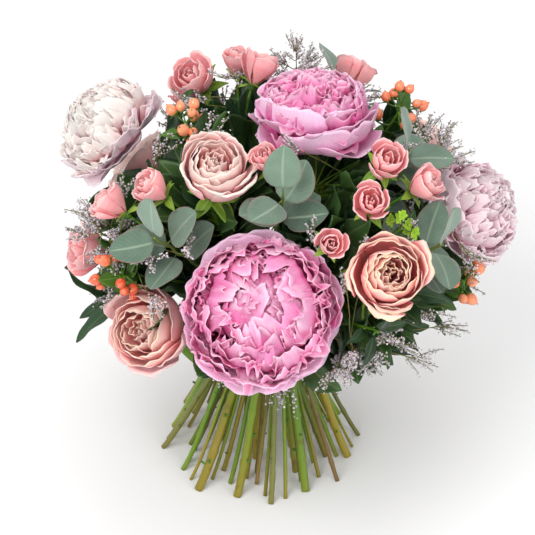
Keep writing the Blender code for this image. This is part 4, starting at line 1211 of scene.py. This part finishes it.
CAMERA_RISE = 38  # degrees above the horizon
CAMERA_AWAY = 6.0  # metres
SENSOR = 36.0  # millimetres
VIEW_WIDTH = 0.503  # metres across the picture at the bouquet
AIM = Vector((6 * MM, 100 * MM, 129 * MM))  # from the foot of the stems' axis
WORLD_STRENGTH = 0.66
# Soft lights: where each is from the stems' axis in metres, its size and its power in watts.
LIGHTS = {
    "key": ((-1.1, -1.5, 2.1), 1.8, 46),
    "fill": ((1.5, -1.9, 1.2), 2.0, 24),
    "top": ((0.3, 0.7, 2.4), 1.8, 16),
}


def make_stage():
    bpy.ops.mesh.primitive_plane_add(size=12)
    floor = bpy.context.object
    floor.name = "studio_floor"
    shader = Shader("studio_floor", 0.9, Base_Color=(0.9, 0.9, 0.9, 1), Specular_IOR_Level=0.1)
    floor.data.materials.append(shader.material)
    floor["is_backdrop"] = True
    camera_data = bpy.data.cameras.new("camera")
    camera = bpy.data.objects.new("camera", camera_data)
    bpy.context.scene.collection.objects.link(camera)
    camera_data.sensor_width = SENSOR
    camera_data.lens = SENSOR * CAMERA_AWAY / VIEW_WIDTH
    camera_data.clip_end = 50
    rise = math.radians(CAMERA_RISE)
    back = Vector((0, -math.cos(rise), math.sin(rise)))
    camera.location = AXIS + AIM + back * CAMERA_AWAY
    camera.rotation_euler = (-back).to_track_quat("-Z", "Y").to_euler()
    bpy.context.scene.camera = camera
    for name, (spot, size, power) in LIGHTS.items():
        data = bpy.data.lights.new(name, "AREA")
        data.size = size
        data.energy = power
        light = bpy.data.objects.new(name, data)
        light.location = AXIS + Vector(spot)
        aim = AXIS + Vector((0, 0, 0.25)) - light.location
        light.rotation_euler = aim.to_track_quat("-Z", "Y").to_euler()
        bpy.context.scene.collection.objects.link(light)
    world = bpy.data.worlds.new("studio")
    world.use_nodes = True
    background = world.node_tree.nodes["Background"]
    background.inputs["Color"].default_value = (1, 1, 1, 1)
    background.inputs["Strength"].default_value = WORLD_STRENGTH
    bpy.context.scene.world = world
    bpy.context.scene.view_settings.view_transform = "Standard"


PEONIES = {
    "front": (FULL, GUARDS, "peony_pink", "peony_pink", "peony_guard"),
    "top": (TALL, BOWL, "peony_pink", "peony_pink", "peony_guard"),
    "back": (FULL, GUARDS, "peony_pink", "peony_pink", "peony_guard"),
    "left": (FLUFFY, GUARDS, "peony_pale", "peony_white", "peony_blush_guard"),
    "right": (FLUFFY, GUARDS, "peony_pale", "peony_blush", "peony_blush_guard"),
}
ROSES = {
    "left": ("rose_peach", "rose_cream"),
    "right": ("rose_cream", "rose_cream"),
    "centre": ("rose_blush", "rose_blush"),
    "back_left": ("rose_blush", "rose_blush"),
    "back_right": ("rose_peach", "rose_cream"),
}
# How ripe the berries of each sprig are: 0 is orange-red and 1 is peach.
RIPENESS = {
    "hypericum_left": 0.1,
    "hypericum_right": 0.75,
    "hypericum_top_left": 0.8,
    "hypericum_top_right": 0.6,
}


def make_sprig(node, rng, places):
    kind = node.split("_")[0]
    if kind == "hypericum":
        make_hypericum(node, rng, RIPENESS[node], places)
    elif kind == "limonium":
        make_limonium(node, rng, places)
    elif kind == "eucalyptus":
        make_leaf_sprig(node, rng, EUCALYPTUS_SHAPE, "eucalyptus_leaf", "eucalyptus", TWIG)
    elif kind == "foliage":
        make_leaf_sprig(node, rng, LANCE_SHAPE, "dark_leaf", "foliage", STEM)
    else:
        make_bupleurum(node, rng)


def main():
    make_stage()
    places = []
    for seed, (name, look) in enumerate(PEONIES.items(), 1):
        places.append(make_peony(f"peony_{name}", *look, seed * 10 + 1))
    sepals, stems = Heap(), Heap()
    for seed, (name, (skin, slot)) in enumerate(ROSES.items(), 3):
        places.append(make_rose(f"rose_{name}", skin, slot, sepals, stems, seed))
    for seed, node in enumerate(SMALL_ROSE_NAMES, 61):
        places.append(make_small_rose(node, sepals, stems, seed))
    sepals.piece("rose_sepals", LEAF["sepal"], "foliage", (), LEAF_THICKNESS)
    stems.piece("rose_pedicels", STEM, "stem")
    for seed, node in enumerate(STEM_NAMES + SPRIG_NAMES, 101):
        make_stem(node, np.random.default_rng(seed), node.startswith(("limonium", "eucalyptus")))
    for seed, node in enumerate(SPRIG_NAMES, 201):
        make_sprig(node, np.random.default_rng(seed), places)
    make_filling(places, np.random.default_rng(5))
    make_wisps(places, np.random.default_rng(6))
    make_filler_stems(np.random.default_rng(7))
    make_binding()


main()

boxes = {"cad": cad_box, "visual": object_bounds()}
size = {name: [list(corner) for corner in box] for name, box in boxes.items()}
